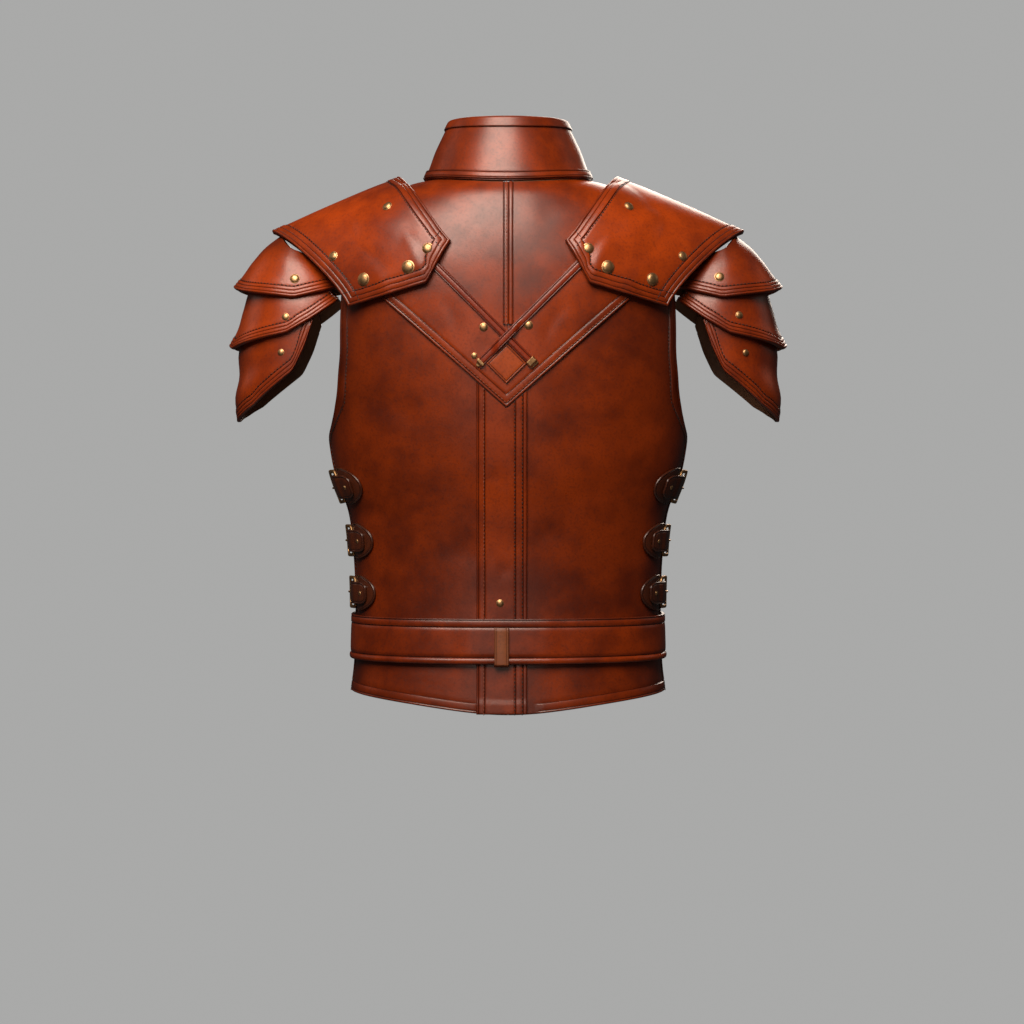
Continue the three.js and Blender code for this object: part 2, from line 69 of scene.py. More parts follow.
camera = bpy.data.objects.new("camera", bpy.data.cameras.new("camera"))
camera.data.sensor_width = 36.0
camera.data.lens = CAMERA_LENS
camera.location = CAMERA_PLACE
camera.rotation_euler = (math.radians(90 - CAMERA_DOWN), 0, math.pi)
scene.collection.objects.link(camera)
scene.camera = camera
scene.view_settings.view_transform = "Standard"

for name, place, aim, size, watts in LIGHTS:
    lamp = bpy.data.objects.new(name, bpy.data.lights.new(name, "AREA"))
    lamp.data.size = size
    lamp.data.energy = watts
    lamp.data.color = WARM
    lamp.location = place
    toward = Vector(aim) - Vector(place)
    lamp.rotation_euler = toward.to_track_quat("-Z", "Y").to_euler()
    scene.collection.objects.link(lamp)


class Wire:
    """A socket of a node tree: arithmetic on it adds Math nodes, and node() adds any other."""

    def __init__(self, tree, socket=None):
        self.tree = tree
        self.socket = socket

    def node(self, kind, settings=None, inputs=None, output=0):
        made = self.tree.nodes.new(kind)
        for name, value in (settings or {}).items():
            setattr(made, name, value)
        for name, value in (inputs or {}).items():
            if isinstance(value, Wire):
                self.tree.links.new(value.socket, made.inputs[name])
            else:
                made.inputs[name].default_value = value
        return Wire(self.tree, made.outputs[output])

    def maths(self, operation, *values):
        return self.node("ShaderNodeMath", {"operation": operation}, dict(enumerate(values)))

    def colour(self, factor, first, second, blend="MIX"):
        settings = {"data_type": "RGBA", "blend_type": blend}
        return self.node("ShaderNodeMix", settings, {0: factor, 6: first, 7: second}, 2)

    def ease(self, low, high):
        settings = {"interpolation_type": "SMOOTHSTEP"}
        ends = {"Value": self, "From Min": low, "From Max": high}
        return self.node("ShaderNodeMapRange", settings, ends)

    def noise(self, scale, detail=3.0, fine=0.6, twist=0.0):
        values = {"Vector": self, "Scale": scale, "Detail": detail, "Roughness": fine,
                  "Distortion": twist}
        return self.node("ShaderNodeTexNoise", None, values)

    def bump(self, strength, distance):
        values = {"Strength": strength, "Distance": distance, "Height": self}
        return self.node("ShaderNodeBump", None, values)

    def __add__(self, other):
        return self.maths("ADD", self, other)

    def __sub__(self, other):
        return self.maths("SUBTRACT", self, other)

    def __rsub__(self, other):
        return self.maths("SUBTRACT", other, self)

    def __mul__(self, other):
        return self.maths("MULTIPLY", self, other)

    def __pow__(self, other):
        return self.maths("POWER", self, other)

    __radd__ = __add__
    __rmul__ = __mul__


def material(name, build):
    made = bpy.data.materials.new(name)
    made.use_nodes = True
    made.node_tree.nodes.clear()
    finish = build(Wire(made.node_tree))
    output = made.node_tree.nodes.new("ShaderNodeOutputMaterial")
    made.node_tree.links.new(finish.socket, output.inputs["Surface"])
    return made


def backdrop(wire, kind):
    """Pale grey to the camera, and a weak fill light to everything else."""
    seen = wire.node("ShaderNodeLightPath", output="Is Camera Ray")
    return wire.node(kind, None, {"Color": PALE_GREY, "Strength": FILL + (1 - FILL) * seen})


def floor_paint(wire):
    place = wire.node("ShaderNodeTexCoord", output="Object")
    reach = wire.node("ShaderNodeVectorMath", {"operation": "LENGTH"}, {0: place}, "Value")
    near = wire.node("ShaderNodeBsdfDiffuse", None, {"Color": FLOOR_TONE})
    far = backdrop(wire, "ShaderNodeEmission")
    return wire.node("ShaderNodeMixShader", None, {0: reach.ease(*FLOOR_FADE), 1: near, 2: far})


floor_mesh = bpy.data.meshes.new("floor")
corners = [(x, y, FLOOR_HEIGHT) for x, y in ((-1, -1), (1, -1), (1, 1), (-1, 1))]
floor_mesh.from_pydata(
    [(x * FLOOR_HALF, y * FLOOR_HALF, z) for x, y, z in corners], [], [(0, 1, 2, 3)])
floor_mesh.materials.append(material("floor_paint", floor_paint))
floor = bpy.data.objects.new("floor", floor_mesh)
scene.collection.objects.link(floor)

scene.world = bpy.data.worlds.new("studio")
scene.world.use_nodes = True
sky = Wire(scene.world.node_tree)
sky.tree.nodes.clear()
air = backdrop(sky, "ShaderNodeBackground")
sky.tree.links.new(air.socket, sky.tree.nodes.new("ShaderNodeOutputWorld").inputs["Surface"])


# ---------------------------------------------------------------- body panels
# Four panels of 3 mm vegetable-tanned leather, wet-shaped over a form and dyed mahogany: two
# behind and two in front. Their armhole, side and hem borders are raised between tooled lines.
MM = 0.001
SIDES = ((1, "left"), (-1, "right"))
PANEL = 3.0
TRIM = 2.2
SEAM = 0.5                     # glue and air between two layers
RAISE = 1.1                    # how far a border stands up
ON_PANEL = PANEL + SEAM
RING_COLUMNS = ("half_width", "back", "front", "z_back", "z_side", "z_front", "square")
BODY_RINGS = [
    (84, 75, 78, -3, 4, -43, 2.0),            # neck seam
    (101, 84, 86, -16, 0, -53, 2.1),          # foot of the neck
    (129, 93, 93, -42, -11, -75, 2.1),        # shoulder
    (153, 99, 99, -71, -25, -101, 2.1),
    (172, 103, 104, -102, -44, -129, 2.2),    # end of the shoulder
    (185, 106, 109, -137, -92, -157, 2.25),
    (190, 106, 113, -182, -172, -197, 2.35),  # shoulder blades and chest
    (185, 103, 113, -238, -238, -245, 2.4),   # underarm
    (177, 98, 109, -292, -292, -295, 2.4),
    (162, 92, 102, -336, -336, -338, 2.4),
    (156.5, 88, 97, -386, -386, -386, 2.4),   # waist
    (155, 89, 95, -440, -440, -440, 2.4),
    (156.5, 94, 98, -490, -490, -490, 2.4),
    (160, 101, 103, -537, -520, -537, 2.4),   # hem
]
LAST_RING = len(BODY_RINGS) - 1
EDGE_RINGS = (0, 3.7, 4, 4.5, 5, 6, 6.6, 7, 7.25, 7.4, LAST_RING)
EDGE_DEGREES = {
    "back": (89.8, 89.8, 80.5, 75.5, 72, 70.7, 73, 76.7, 81, 87, 87),
    "front": (89.8, 89.8, 79, 72, 67.5, 66, 69.5, 75, 81, 87, 87),
}
NECK_SLIT = 5.0
BORDER = 9.6
# Soft troughs where the leather has bent: from (across, down) to (across, down) as shares of the
# panel, then width and depth.
CREASES = {
    ("back", 1): [
        (0.30, 0.40, 0.62, 0.44, 17, 0.7), (0.52, 0.55, 0.93, 0.52, 11, 0.9),
        (0.26, 0.63, 0.66, 0.66, 20, 0.8), (0.62, 0.705, 0.94, 0.69, 9, 0.9),
        (0.16, 0.765, 0.50, 0.75, 14, 0.6), (0.44, 0.46, 0.50, 0.62, 26, 0.7),
        (0.24, 0.13, 0.60, 0.17, 22, 0.5), (0.30, 0.925, 0.70, 0.93, 12, 0.5),
    ],
    ("back", -1): [
        (0.24, 0.45, 0.70, 0.41, 19, 0.8), (0.60, 0.575, 0.94, 0.54, 10, 0.8),
        (0.36, 0.67, 0.86, 0.64, 16, 0.9), (0.20, 0.72, 0.46, 0.735, 12, 0.6),
        (0.66, 0.775, 0.93, 0.755, 9, 0.7), (0.37, 0.47, 0.41, 0.60, 28, 0.6),
        (0.20, 0.16, 0.52, 0.14, 24, 0.5), (0.26, 0.93, 0.55, 0.92, 13, 0.4),
    ],
    ("front", 1): [
        (0.20, 0.33, 0.66, 0.37, 22, 0.9), (0.50, 0.53, 0.92, 0.50, 12, 1.0),
        (0.12, 0.62, 0.55, 0.60, 18, 0.8), (0.40, 0.70, 0.90, 0.72, 12, 0.9),
        (0.30, 0.44, 0.34, 0.58, 26, 0.7),
    ],
    ("front", -1): [
        (0.16, 0.38, 0.58, 0.34, 20, 0.9), (0.56, 0.51, 0.93, 0.545, 11, 0.9),
        (0.20, 0.64, 0.74, 0.62, 16, 0.9), (0.14, 0.74, 0.50, 0.71, 14, 0.7),
        (0.42, 0.45, 0.40, 0.57, 24, 0.6),
    ],
}


def named_columns(rows):
    return dict(zip(RING_COLUMNS, np.array(rows, float).T))


def smooth(low, high, value):
    share = np.clip((value - low) / (high - low), 0, 1)
    return share * share * (3 - 2 * share)


def curve_through(values, place):
    """A smooth curve through evenly spaced values, read at fractional places."""
    values = np.asarray(values, float)
    ends = [2 * values[0] - values[1]], [2 * values[-1] - values[-2]]
    row = np.concatenate([ends[0], values, ends[1]])
    i = np.clip(np.floor(place).astype(int), 0, len(values) - 2)
    f = place - i
    a, b, c, d = (row[i + k] for k in range(4))
    return b + 0.5 * f * (c - a + f * (2 * a - 5 * b + 4 * c - d + f * (3 * (b - c) + d - a)))


def ring_point(table, angle, ring):
    """Points on a table of rings: radians round from the middle of the back, and a ring."""
    angle, ring = np.broadcast_arrays(np.asarray(angle, float), np.asarray(ring, float))
    read = {name: curve_through(values, ring) for name, values in table.items()}
    sine, cosine = np.sin(angle), np.cos(angle)
    behind = cosine > 0
    depth = np.where(behind, read["back"], read["front"])
    middle = np.where(behind, read["z_back"], read["z_front"])
    across = np.abs(sine / read["half_width"]) ** read["square"]
    deep = np.abs(cosine / depth) ** read["square"]
    reach = (across + deep) ** (-1 / read["square"])
    height = read["z_side"] + (middle - read["z_side"]) * cosine ** 2
    return np.stack([reach * sine, reach * cosine, height], -1)


def outward(surface, u, v, step=1e-3):
    normal = np.cross(surface(u + step, v) - surface(u - step, v),
                      surface(u, v + step) - surface(u, v - step))
    return normal / np.linalg.norm(normal, axis=-1, keepdims=True)


def lifted(surface, u, v, lift, way=1):
    return surface(u, v) + way * outward(surface, u, v) * np.asarray(lift)[..., None]


BODY = named_columns(BODY_RINGS)


def body(angle, ring):
    return ring_point(BODY, angle, ring)


def fit(place, across, down):
    """A grid over a piece whose lines keep set distances from its edges. across and down are each
    the distances from the near edge, how many lines lie between, and those from the far edge."""
    coarse = np.linspace(0, 1, 41)
    base = place(*np.meshgrid(coarse, coarse, indexing="ij"), 0.0)
    step_u = np.diff(base, axis=0)
    step_v = np.diff(base, axis=1)
    step_u = np.concatenate([step_u, step_u[-1:]])
    step_v = np.concatenate([step_v, step_v[:, -1:]], axis=1)
    long_u, long_v = (np.linalg.norm(step, axis=-1) for step in (step_u, step_v))
    square = np.linalg.norm(np.cross(step_u, step_v), axis=-1) / (long_u * long_v)
    square = np.clip(square, 0.45, 1)
    walk_u = np.concatenate([np.zeros((1, 41)), np.cumsum(long_u[:-1], axis=0)])
    walk_v = np.concatenate([np.zeros((41, 1)), np.cumsum(long_v[:, :-1], axis=1)], axis=1)

    def marks(walk, lean, stops):
        near, between, far = stops
        first, last = np.asarray(near, float) / lean[0], np.asarray(far, float)[::-1] / lean[-1]
        squeeze = min(1.0, 0.96 * walk[-1] / (first[-1] + last[0]))
        first, last = first * squeeze, walk[-1] - last * squeeze
        middle = np.linspace(first[-1], last[0], between + 2)[1:-1]
        along = np.concatenate([first, middle, last])
        return np.interp(along, walk, coarse), along * lean[0], (walk[-1] - along) * lean[-1]

    def at(table, share):
        k = min(int(share * 40), 39)
        f = share * 40 - k
        return table[:, k] * (1 - f) + table[:, k + 1] * f

    plain = np.ones(41)
    usual_u = marks(walk_u.mean(axis=1), plain, across)[0]
    usual_v = marks(walk_v.mean(axis=0), plain, down)[0]
    rows = [marks(at(walk_u, v), at(square, v), across) for v in usual_v]
    columns = [marks(at(walk_v.T, u), at(square.T, u), down) for u in usual_u]
    u, left, right = (np.stack([row[k] for row in rows], axis=1) for k in range(3))
    v, top, bottom = (np.stack([column[k] for column in columns]) for k in range(3))
    area = (long_u * long_v * square)[:-1, :-1].sum()
    size = (walk_u[-1].max(), walk_v[:, -1].max())
    sides, ends = np.minimum(left, right), np.minimum(top, bottom)
    return SimpleNamespace(u=u, v=v, left=left, right=right, top=top, bottom=bottom, sides=sides,
                           ends=ends, near=np.minimum(sides, ends), size=size, area=area)


def stops(*lines):
    """Distances from an edge that draw its rounding and the narrow lines tooled along it."""
    marks = [0, 0.15, 0.4, 0.75, 1.2]
    for line in lines:
        marks.extend(line + 0.95 * np.array([-1, -0.6, -0.3, 0, 0.3, 0.6, 1]))
    return sorted(marks)


def edged(distance, *lines, radius=1.2, depth=0.5, width=0.5):
    """Rounds a cut edge over and tools lines along it: the height, and how dark it is burnished."""
    inside = np.clip(radius - distance, 0, radius)
    rise = np.sqrt(radius ** 2 - inside ** 2) - radius
    dark = 0.6 * np.exp(-(distance / 1.3) ** 2)
    for line in lines:
        mark = np.exp(-((distance - line) / width) ** 2)
        rise = rise - depth * mark
        dark = np.maximum(dark, mark)
    return rise, dark


def joined(*edges):
    """Several worked edges at once: their heights added up, and the darkest of their burnish."""
    rises, darks = zip(*edges)
    return sum(rises), np.maximum.reduce(darks)


def rubbed_dye_and_shade(dark, distance, reach, depth):
    """Darkens the dye softly towards an edge: partly dye rubbed in most there, partly painted shade
    for light that falls off towards the edges of the body and of the pieces.
    """
    return np.maximum(dark, depth * np.exp(-distance / reach))


def creased(grid, rows):
    """Soft troughs along short lines, each fading out towards its ends."""
    width, length = grid.size
    x, y = grid.u * width, grid.v * length
    rise = np.zeros_like(x)
    for from_u, from_v, to_u, to_v, wide, deep in rows:
        start = np.array([from_u * width, from_v * length])
        run = np.array([to_u * width, to_v * length]) - start
        reach = np.hypot(*run)
        share = ((x - start[0]) * run[0] + (y - start[1]) * run[1]) / reach ** 2
        off = ((x - start[0]) * run[1] - (y - start[1]) * run[0]) / reach
        bow = off - 0.06 * reach * np.sin(math.pi * np.clip(share, 0, 1))
        fade = smooth(-0.12, 0.3, share) * (1 - smooth(0.6, 1.12, share))
        soft = wide * np.where(bow > 0, 1.4, 0.8)
        rise -= deep * fade * np.exp(-(bow / soft) ** 2)
    return rise


def outward_faces(points, faces):
    corner = points[faces[:, :3]]
    volume = np.einsum("ij,ij->i", corner[:, 0], np.cross(corner[:, 1], corner[:, 2])).sum()
    return faces if volume > 0 else faces[:, ::-1]


def wall(name, inner, outer, dark, finish, side=1, wrap=False):
    """A closed wall between two grids of points, its cut edges burnished all round."""
    n, m = outer.shape[:2]
    index = np.arange(2 * n * m).reshape(2, n, m)
    if wrap:
        index = np.concatenate([index, index[:, :1]], axis=1)

    def strip(a, b):
        return np.stack([a[:-1], a[1:], b[1:], b[:-1]], -1).reshape(-1, 4)

    def sheet_of(layer):
        corners = layer[:-1, :-1], layer[1:, :-1], layer[1:, 1:], layer[:-1, 1:]
        return np.stack(corners, -1).reshape(-1, 4)

    out, back = index
    faces = [sheet_of(out), sheet_of(back)[:, ::-1],
             strip(back[:, 0], out[:, 0]), strip(out[:, -1], back[:, -1])]
    if not wrap:
        faces += [strip(out[0], back[0]), strip(back[-1], out[-1])]
    points = np.concatenate([outer.reshape(-1, 3), inner.reshape(-1, 3)]) * (side * MM, MM, MM)
    faces = outward_faces(points, np.concatenate(faces))
    flesh = np.zeros((2, n, m))
    flesh[1, slice(None) if wrap else slice(1, -1), 1:-1] = 1
    burnt_and_shade = np.stack([dark, 1 - flesh[1]])
    return solid(name, points, faces.tolist(), finish, {"burnish_tarnish_and_shade": burnt_and_shade, "flesh": flesh})


SAME_POINT = 2e-6              # metres
CRISP = 38                     # degrees


def solid(name, points, faces, finish, attributes):
    """A mesh object at the origin, smooth but for its crisp corners."""
    mesh = bpy.data.meshes.new(name)
    mesh.from_pydata(points.tolist(), [], faces)
    for key, values in attributes.items():
        layer = mesh.attributes.new(key, "FLOAT", "POINT")
        layer.data.foreach_set("value", np.asarray(values, np.float32).ravel())
    joined = bmesh.new()
    joined.from_mesh(mesh)
    bmesh.ops.remove_doubles(joined, verts=joined.verts, dist=SAME_POINT)
    bmesh.ops.dissolve_degenerate(joined, edges=joined.edges, dist=SAME_POINT)
    joined.to_mesh(mesh)
    joined.free()
    mesh.polygons.foreach_set("use_smooth", [True] * len(mesh.polygons))
    mesh.set_sharp_from_angle(angle=math.radians(CRISP))
    mesh.materials.append(finish)
    mesh.update()
    made = bpy.data.objects.new(name, mesh)
    scene.collection.objects.link(made)
    return made


def settle(made, slot, *nodes):
    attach(made, "root")
    if nodes:
        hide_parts(*nodes)


def cut(node, place, across, down, thick, work, finish, side=1, wrap=False, name="", slot=""):
    """Cuts a piece of leather: lays its grid, tools it, and puts it in place of its CAD node."""
    grid = fit(place, across, down)
    rise, dark = work(grid)
    inner = place(grid.u, grid.v, 0.0)
    outer = place(grid.u, grid.v, thick + rise)
    if wrap:
        inner, outer, dark = inner[:-1], outer[:-1], dark[:-1]
    made = wall(f"{name or node}_leather", inner, outer, dark, finish, side, wrap)
    # Blender numbers a material's name after a dot if the CAD has one of the same name.
    settle(made, slot or finish.name.split(".")[0], node)
    away = outer - inner
    away = away / np.linalg.norm(away, axis=-1, keepdims=True)
    return SimpleNamespace(object=made, outer=outer, away=away, grid=grid, side=side)


seams = {"dark": [], "red": []}
THREAD_LIFT = 0.12


def sew(thread, piece, edge, distance, start=0.0, end=1.0):
    """Keeps the line that lies at a distance from one of a piece's edges for the stitching."""
    gap = np.abs(getattr(piece.grid, edge) - distance)
    on_top = piece.outer + THREAD_LIFT * piece.away
    if edge in ("left", "right"):
        line = on_top[int(gap.mean(axis=1).argmin())]
    else:
        line = on_top[:, int(gap.mean(axis=0).argmin())]
    first, last = (int(share * (len(line) - 1)) for share in (start, end))
    seams[thread].append(line[first:last + 1] * (piece.side, 1, 1) * MM)


def leather(name, light, dark, burnt_and_shade, rough=0.37, coat=0.16, grain=1.0):
    """Smooth dyed leather: clouded dye, darker at its edges and tooled lines and where pieces carry
    painted shade, raw on the inside.
    """
    def build(wire):
        place = wire.node("ShaderNodeTexCoord", output="Object")
        edge, flesh = (wire.node("ShaderNodeAttribute", {"attribute_name": key}, output="Fac")
                       for key in ("burnish_tarnish_and_shade", "flesh"))
        cloud = 0.62 * place.noise(7.0, 4.0, twist=0.4) + 0.38 * place.noise(31.0, fine=0.55)
        cloud = cloud.ease(0.34, 0.66)
        speck = place.noise(420.0, 2.0, 0.55)
        cells = wire.node("ShaderNodeTexVoronoi", None, {"Vector": place, "Scale": 760.0})
        wrinkle = place.noise(150.0, 4.0, twist=0.8)
        tone = wire.colour(cloud, dark, light)
        tone = wire.colour(0.30 * speck.ease(0.45, 0.75), tone, burnt_and_shade)
        # Burnished edges and tooled lines, and on the panels, plates and lames painted shade as
        # well, mixed towards the dark tone.
        tone = wire.colour(0.86 * edge, tone, burnt_and_shade)
        tone = wire.colour(flesh, tone, RAW)
        gloss = rough + 0.16 * (speck - 0.5) + 0.12 * (wrinkle - 0.5) - 0.05 * cloud + 0.4 * flesh
        height = (0.5 * cells + 0.5 * speck + 0.9 * wrinkle) * (grain + 0.4 * flesh)
        return wire.node("ShaderNodeBsdfPrincipled", None, {
            "Base Color": tone, "Roughness": gloss, "Normal": height.bump(0.32, 0.00022),
            "Specular IOR Level": 0.5, "Coat Weight": coat, "Coat Roughness": 0.30})
    return material(name, build)


BURNT_AND_SHADE = (0.020, 0.003, 0.0015, 1)
RAW = (0.23, 0.105, 0.052, 1)
body_leather = leather("body_leather", (0.34, 0.042, 0.002, 1), (0.12, 0.013, 0.001, 1), BURNT_AND_SHADE)


def panel_place(half):
    edges = EDGE_DEGREES[half]

    def place(u, v, lift):
        ring = LAST_RING * v
        edge = sum(np.interp(ring + 0.06 * k, EDGE_RINGS, edges) for k in (-2, -1, 0, 1, 2)) / 5
        slit = 0.12 + (NECK_SLIT - 0.12) * (1 - smooth(3.2, 4.1, ring)) * (half == "front")
        degrees = slit + (edge - slit) * u
        angle = np.radians(degrees if half == "back" else 180 - degrees)
        return lifted(body, angle, ring, lift)
    return place


def panel_work(half, side):
    def work(grid):
        ring = LAST_RING * grid.v
        below_shoulder = smooth(3.7, 4.1, ring)
        rise, dark = edged(grid.right, 2.7, BORDER)
        rise, dark = rise * below_shoulder, dark * below_shoulder
        beside_strip = smooth(0.19, 0.21, grid.u)
        hem_rise, hem_dark = edged(grid.bottom, 2.2, BORDER)
        lines = smooth(0.6, 2.2, grid.bottom)
        hem_rise = hem_rise * np.where(grid.bottom > 1.2, beside_strip, 1)
        hem_dark = hem_dark * np.where(lines > 0, np.maximum(beside_strip, 1 - lines), 1)
        border = np.maximum((1 - smooth(BORDER - 0.6, BORDER + 0.5, grid.right)) * below_shoulder,
                            (1 - smooth(BORDER - 0.6, BORDER + 0.5, grid.bottom)) * beside_strip)
        inside = smooth(BORDER, BORDER + 14, np.minimum(grid.right, grid.bottom))
        folds = creased(grid, CREASES[half, side]) * inside
        # Painted shade: the panels grow darker from the shoulder blades down, standing in for the
        # key light falling off lower on the body.
        height = np.interp(ring, np.arange(LAST_RING + 1), BODY["z_back"])
        painted_lower_shade = 0.30 * smooth(130, 250, -height)
        dark = np.maximum(np.maximum(dark, hem_dark), painted_lower_shade)
        # Darker towards the side edge and the hem: partly dye rubbed in at the edges, partly
        # painted shade for light falling off towards the sides.
        dark = rubbed_dye_and_shade(dark, grid.right, 62 * below_shoulder + 1, 0.74)
        return rise + hem_rise + RAISE * border + folds, rubbed_dye_and_shade(dark, grid.bottom, 16, 0.4)
    return work


for half in ("back", "front"):
    for side, word in SIDES:
        piece = cut(
            f"{half}_panel_{word}", panel_place(half), ([0, 2], 56, stops(2.7, BORDER)),
            ([0, 1], 118, stops(2.2, BORDER)), PANEL, panel_work(half, side), body_leather, side,
            name=f"{half}_{word}")
        sew("dark", piece, "right", BORDER + 0.95, 0.33, 0.985)


# ---------------------------------------------------------------- strips down the middle
# The back seam's strip above the yoke, the wide strip from the yoke's point to the hem, and the
# narrow strip in front: skived leather glued over the seams and sewn down along both edges.
STRIP_SHIFT = 6.2
STRIP_HALF = 25.2
STRIP_BOTTOM = -536.6
STRIP_BANDS = (8.5, 11.5)      # raised bands along its left and right edges
INNER_SEAM = 3.9
YOKE_MIDDLE = 1.5
YOKE_UPPER = (84, -67, -153.5)  # reach, height at the shoulder, height in the middle
YOKE_LOWER = (136, -108, -228.7)
SEAM_STRIP = {"back": (5.2, 0.12, 5.22), "front": (6.0, 4.5, 12.7)}  # half width, two rings


def find_on(surface, x, z, u, v, rounds=26, share=0.8):
    """Where a surface passes through (x, z) as seen from behind, from a first guess at u and v."""
    step = 1e-3
    for _ in range(rounds):
        here = surface(u, v)
        over_u = (surface(u + step, v) - here) / step
        over_v = (surface(u, v + step) - here) / step
        cross = over_u[..., 0] * over_v[..., 2] - over_v[..., 0] * over_u[..., 2]
        miss_x, miss_z = x - here[..., 0], z - here[..., 2]
        u = u + share * (miss_x * over_v[..., 2] - miss_z * over_v[..., 0]) / cross
        v = v + share * (miss_z * over_u[..., 0] - miss_x * over_u[..., 2]) / cross
    return u, v


def on_back(x, z, lift):
    """Points on the back panels at (x, z) as seen from behind, moved out by lift."""
    x, z = np.broadcast_arrays(np.asarray(x, float), np.asarray(z, float))
    ring = np.interp(-z, -BODY["z_back"], np.arange(LAST_RING + 1))
    return lifted(body, *find_on(body, x, z, np.arctan2(x, 100.0), ring), lift)


def yoke_point(x):
    reach, outer, middle = YOKE_LOWER
    return middle + (outer - middle) * np.abs(x - YOKE_MIDDLE) / reach - 1.2


def strip_place(u, v, lift):
    x = STRIP_SHIFT + STRIP_HALF * (1 - 2 * u)
    top = yoke_point(x)
    over_hem = RAISE * smooth(0.955, 0.967, v)
    return on_back(x, top + (STRIP_BOTTOM - top) * v, ON_PANEL + over_hem + lift)


def strip_work(grid):
    left, right = STRIP_BANDS
    rise, dark = joined(edged(grid.left, 2.3, left), edged(grid.right, INNER_SEAM, right),
                        edged(grid.bottom))
    band = (1 - smooth(left - 0.5, left + 0.4, grid.left)) \
        + (1 - smooth(right - 0.5, right + 0.4, grid.right))
    inside = smooth(left, left + 5, grid.left) * smooth(right, right + 4, grid.right)
    folds = creased(grid, [(0.30, 0.24, 0.62, 0.27, 9, 0.35), (0.42, 0.55, 0.72, 0.53, 8, 0.4),
                           (0.34, 0.71, 0.66, 0.735, 7, 0.3)]) * inside
    return rise + 0.6 * band - 0.6 + folds, dark


centre_strip = cut(
    "back_centre_strip", strip_place,
    (stops(2.3, STRIP_BANDS[0]), 12, stops(INNER_SEAM, STRIP_BANDS[1])),
    ([0, 0.5], 96, stops()), TRIM, strip_work, body_leather)
for thread, edge, distance in (("dark", "right", STRIP_BANDS[1] + 0.95),
                               ("dark", "right", INNER_SEAM + 0.9), ("red", "left", 6.0)):
    sew(thread, centre_strip, edge, distance, 0.01, 0.99)


def seam_strip_place(half):
    half_width, first, last = SEAM_STRIP[half]
    middle = 0.0 if half == "back" else math.pi

    def place(u, v, lift):
        ring = first + (last - first) * v
        across = (2 * u - 1) * half_width
        angle = middle - np.arcsin(across / np.abs(body(middle, ring)[..., 1]))
        return lifted(body, angle, ring, ON_PANEL + lift)
    return place


THIN = 1.6


def rolled(distance, wide):
    """A rolled bead along an edge: its round top, from 0 to 1."""
    return np.sqrt(np.clip(1 - ((distance - wide / 2) / (wide / 2)) ** 2, 0, 1))


def seam_strip_work(grid):
    rise, dark = joined(edged(grid.left, 1.3, radius=0.7), edged(grid.right, radius=0.7))
    bead_wide = 4.6
    groove = np.exp(-((grid.right - bead_wide - 0.2) / 0.5) ** 2)
    return (rise + 0.9 * rolled(grid.right, bead_wide) - 0.5 * groove - 0.3,
            np.maximum(dark, groove))


for half, count in (("back", 44), ("front", 90)):
    seam_strip = cut(
        f"{half}_seam_strip", seam_strip_place(half), (stops(1.3), 4, stops(2.3, 4.8)),
        ([0, 0.4], count, [0, 0.4]), THIN, seam_strip_work, body_leather)
    sew("dark", seam_strip, "left", 1.5)
    sew("red", seam_strip, "left", 3.6)


# ---------------------------------------------------------------- collar
# A stand collar of one 3 mm band, open in front. A rolled binding goes over its top edge, and a
# narrow band with two tooled lines covers the neck seam.
COLLAR_RINGS = [
    (84, 75, 78, -0.4, 7.4, -40.4, 2.0),      # seam
    (78.5, 70, 73, 15, 21, -26, 2.0),
    (73, 65.5, 67.5, 31, 36, -10, 2.0),
    (66, 61, 62.5, 47, 51, 6, 2.0),
    (59, 57, 58, 64, 65, 23, 2.0),            # top edge
]
COLLAR_RIM = math.radians(175)
COLLAR_TOP = 4.0               # its last ring
BINDING_FROM = 3.5
BINDING_THICK = 1.4
COLLAR = named_columns(COLLAR_RINGS)


def collar(angle, ring):
    return ring_point(COLLAR, angle, ring)


def collar_place(top, bottom, base):
    def place(u, v, lift):
        angle = COLLAR_RIM * (1 - 2 * u)
        return lifted(collar, angle, top + (bottom - top) * v, base + lift, -1)
    return place


def collar_work(grid):
    rise, dark = edged(grid.sides, 2.6)
    folds = creased(grid, [(0.30, 0.5, 0.36, 0.62, 9, 0.5), (0.62, 0.45, 0.70, 0.62, 10, 0.5),
                           (0.10, 0.4, 0.20, 0.6, 8, 0.5), (0.85, 0.6, 0.92, 0.45, 8, 0.5)])
    return rise + folds * smooth(3, 9, grid.sides), dark


cut("collar", collar_place(COLLAR_TOP, 0.0, 0.0), (stops(2.6), 120, stops(2.6)),
            ([0, 1], 26, [0, 1]), PANEL, collar_work, body_leather)


def band_work(grid):
    return joined(edged(grid.top, 2.0, radius=0.7), edged(grid.bottom, 1.6, radius=0.7),
                  edged(grid.sides, radius=0.7))


cut("collar_seam_band", collar_place(0.62, 0.05, ON_PANEL), (stops(), 130, stops()),
    (stops(2.0), 2, stops(1.6)), THIN, band_work, body_leather)


def binding_place(u, v, lift):
    """The binding's path: up the outside, over the top edge, and a little way down the inside."""
    over, past = 0.42, 0.62        # where along its width it turns over the edge
    angle = COLLAR_RIM * (1 - 2 * u)
    turn = math.pi * np.clip((v - over) / 0.2, 0, 1)
    fall_out = np.clip((over - v) / over, 0, 1)
    fall_in = np.clip((v - past) / 0.38, 0, 1)
    ring = COLLAR_TOP - (COLLAR_TOP - BINDING_FROM) * fall_out - 0.34 * fall_in
    base = collar(angle, ring)
    out = -outward(collar, angle, ring)
    up = collar(angle, ring) - collar(angle, ring - 0.01)
    up = up / np.linalg.norm(up, axis=-1, keepdims=True)
    reach = PANEL / 2 + 0.45 + lift
    across = PANEL / 2 + reach * np.cos(turn)
    return base + out * across[..., None] + up * (reach * np.sin(turn))[..., None]


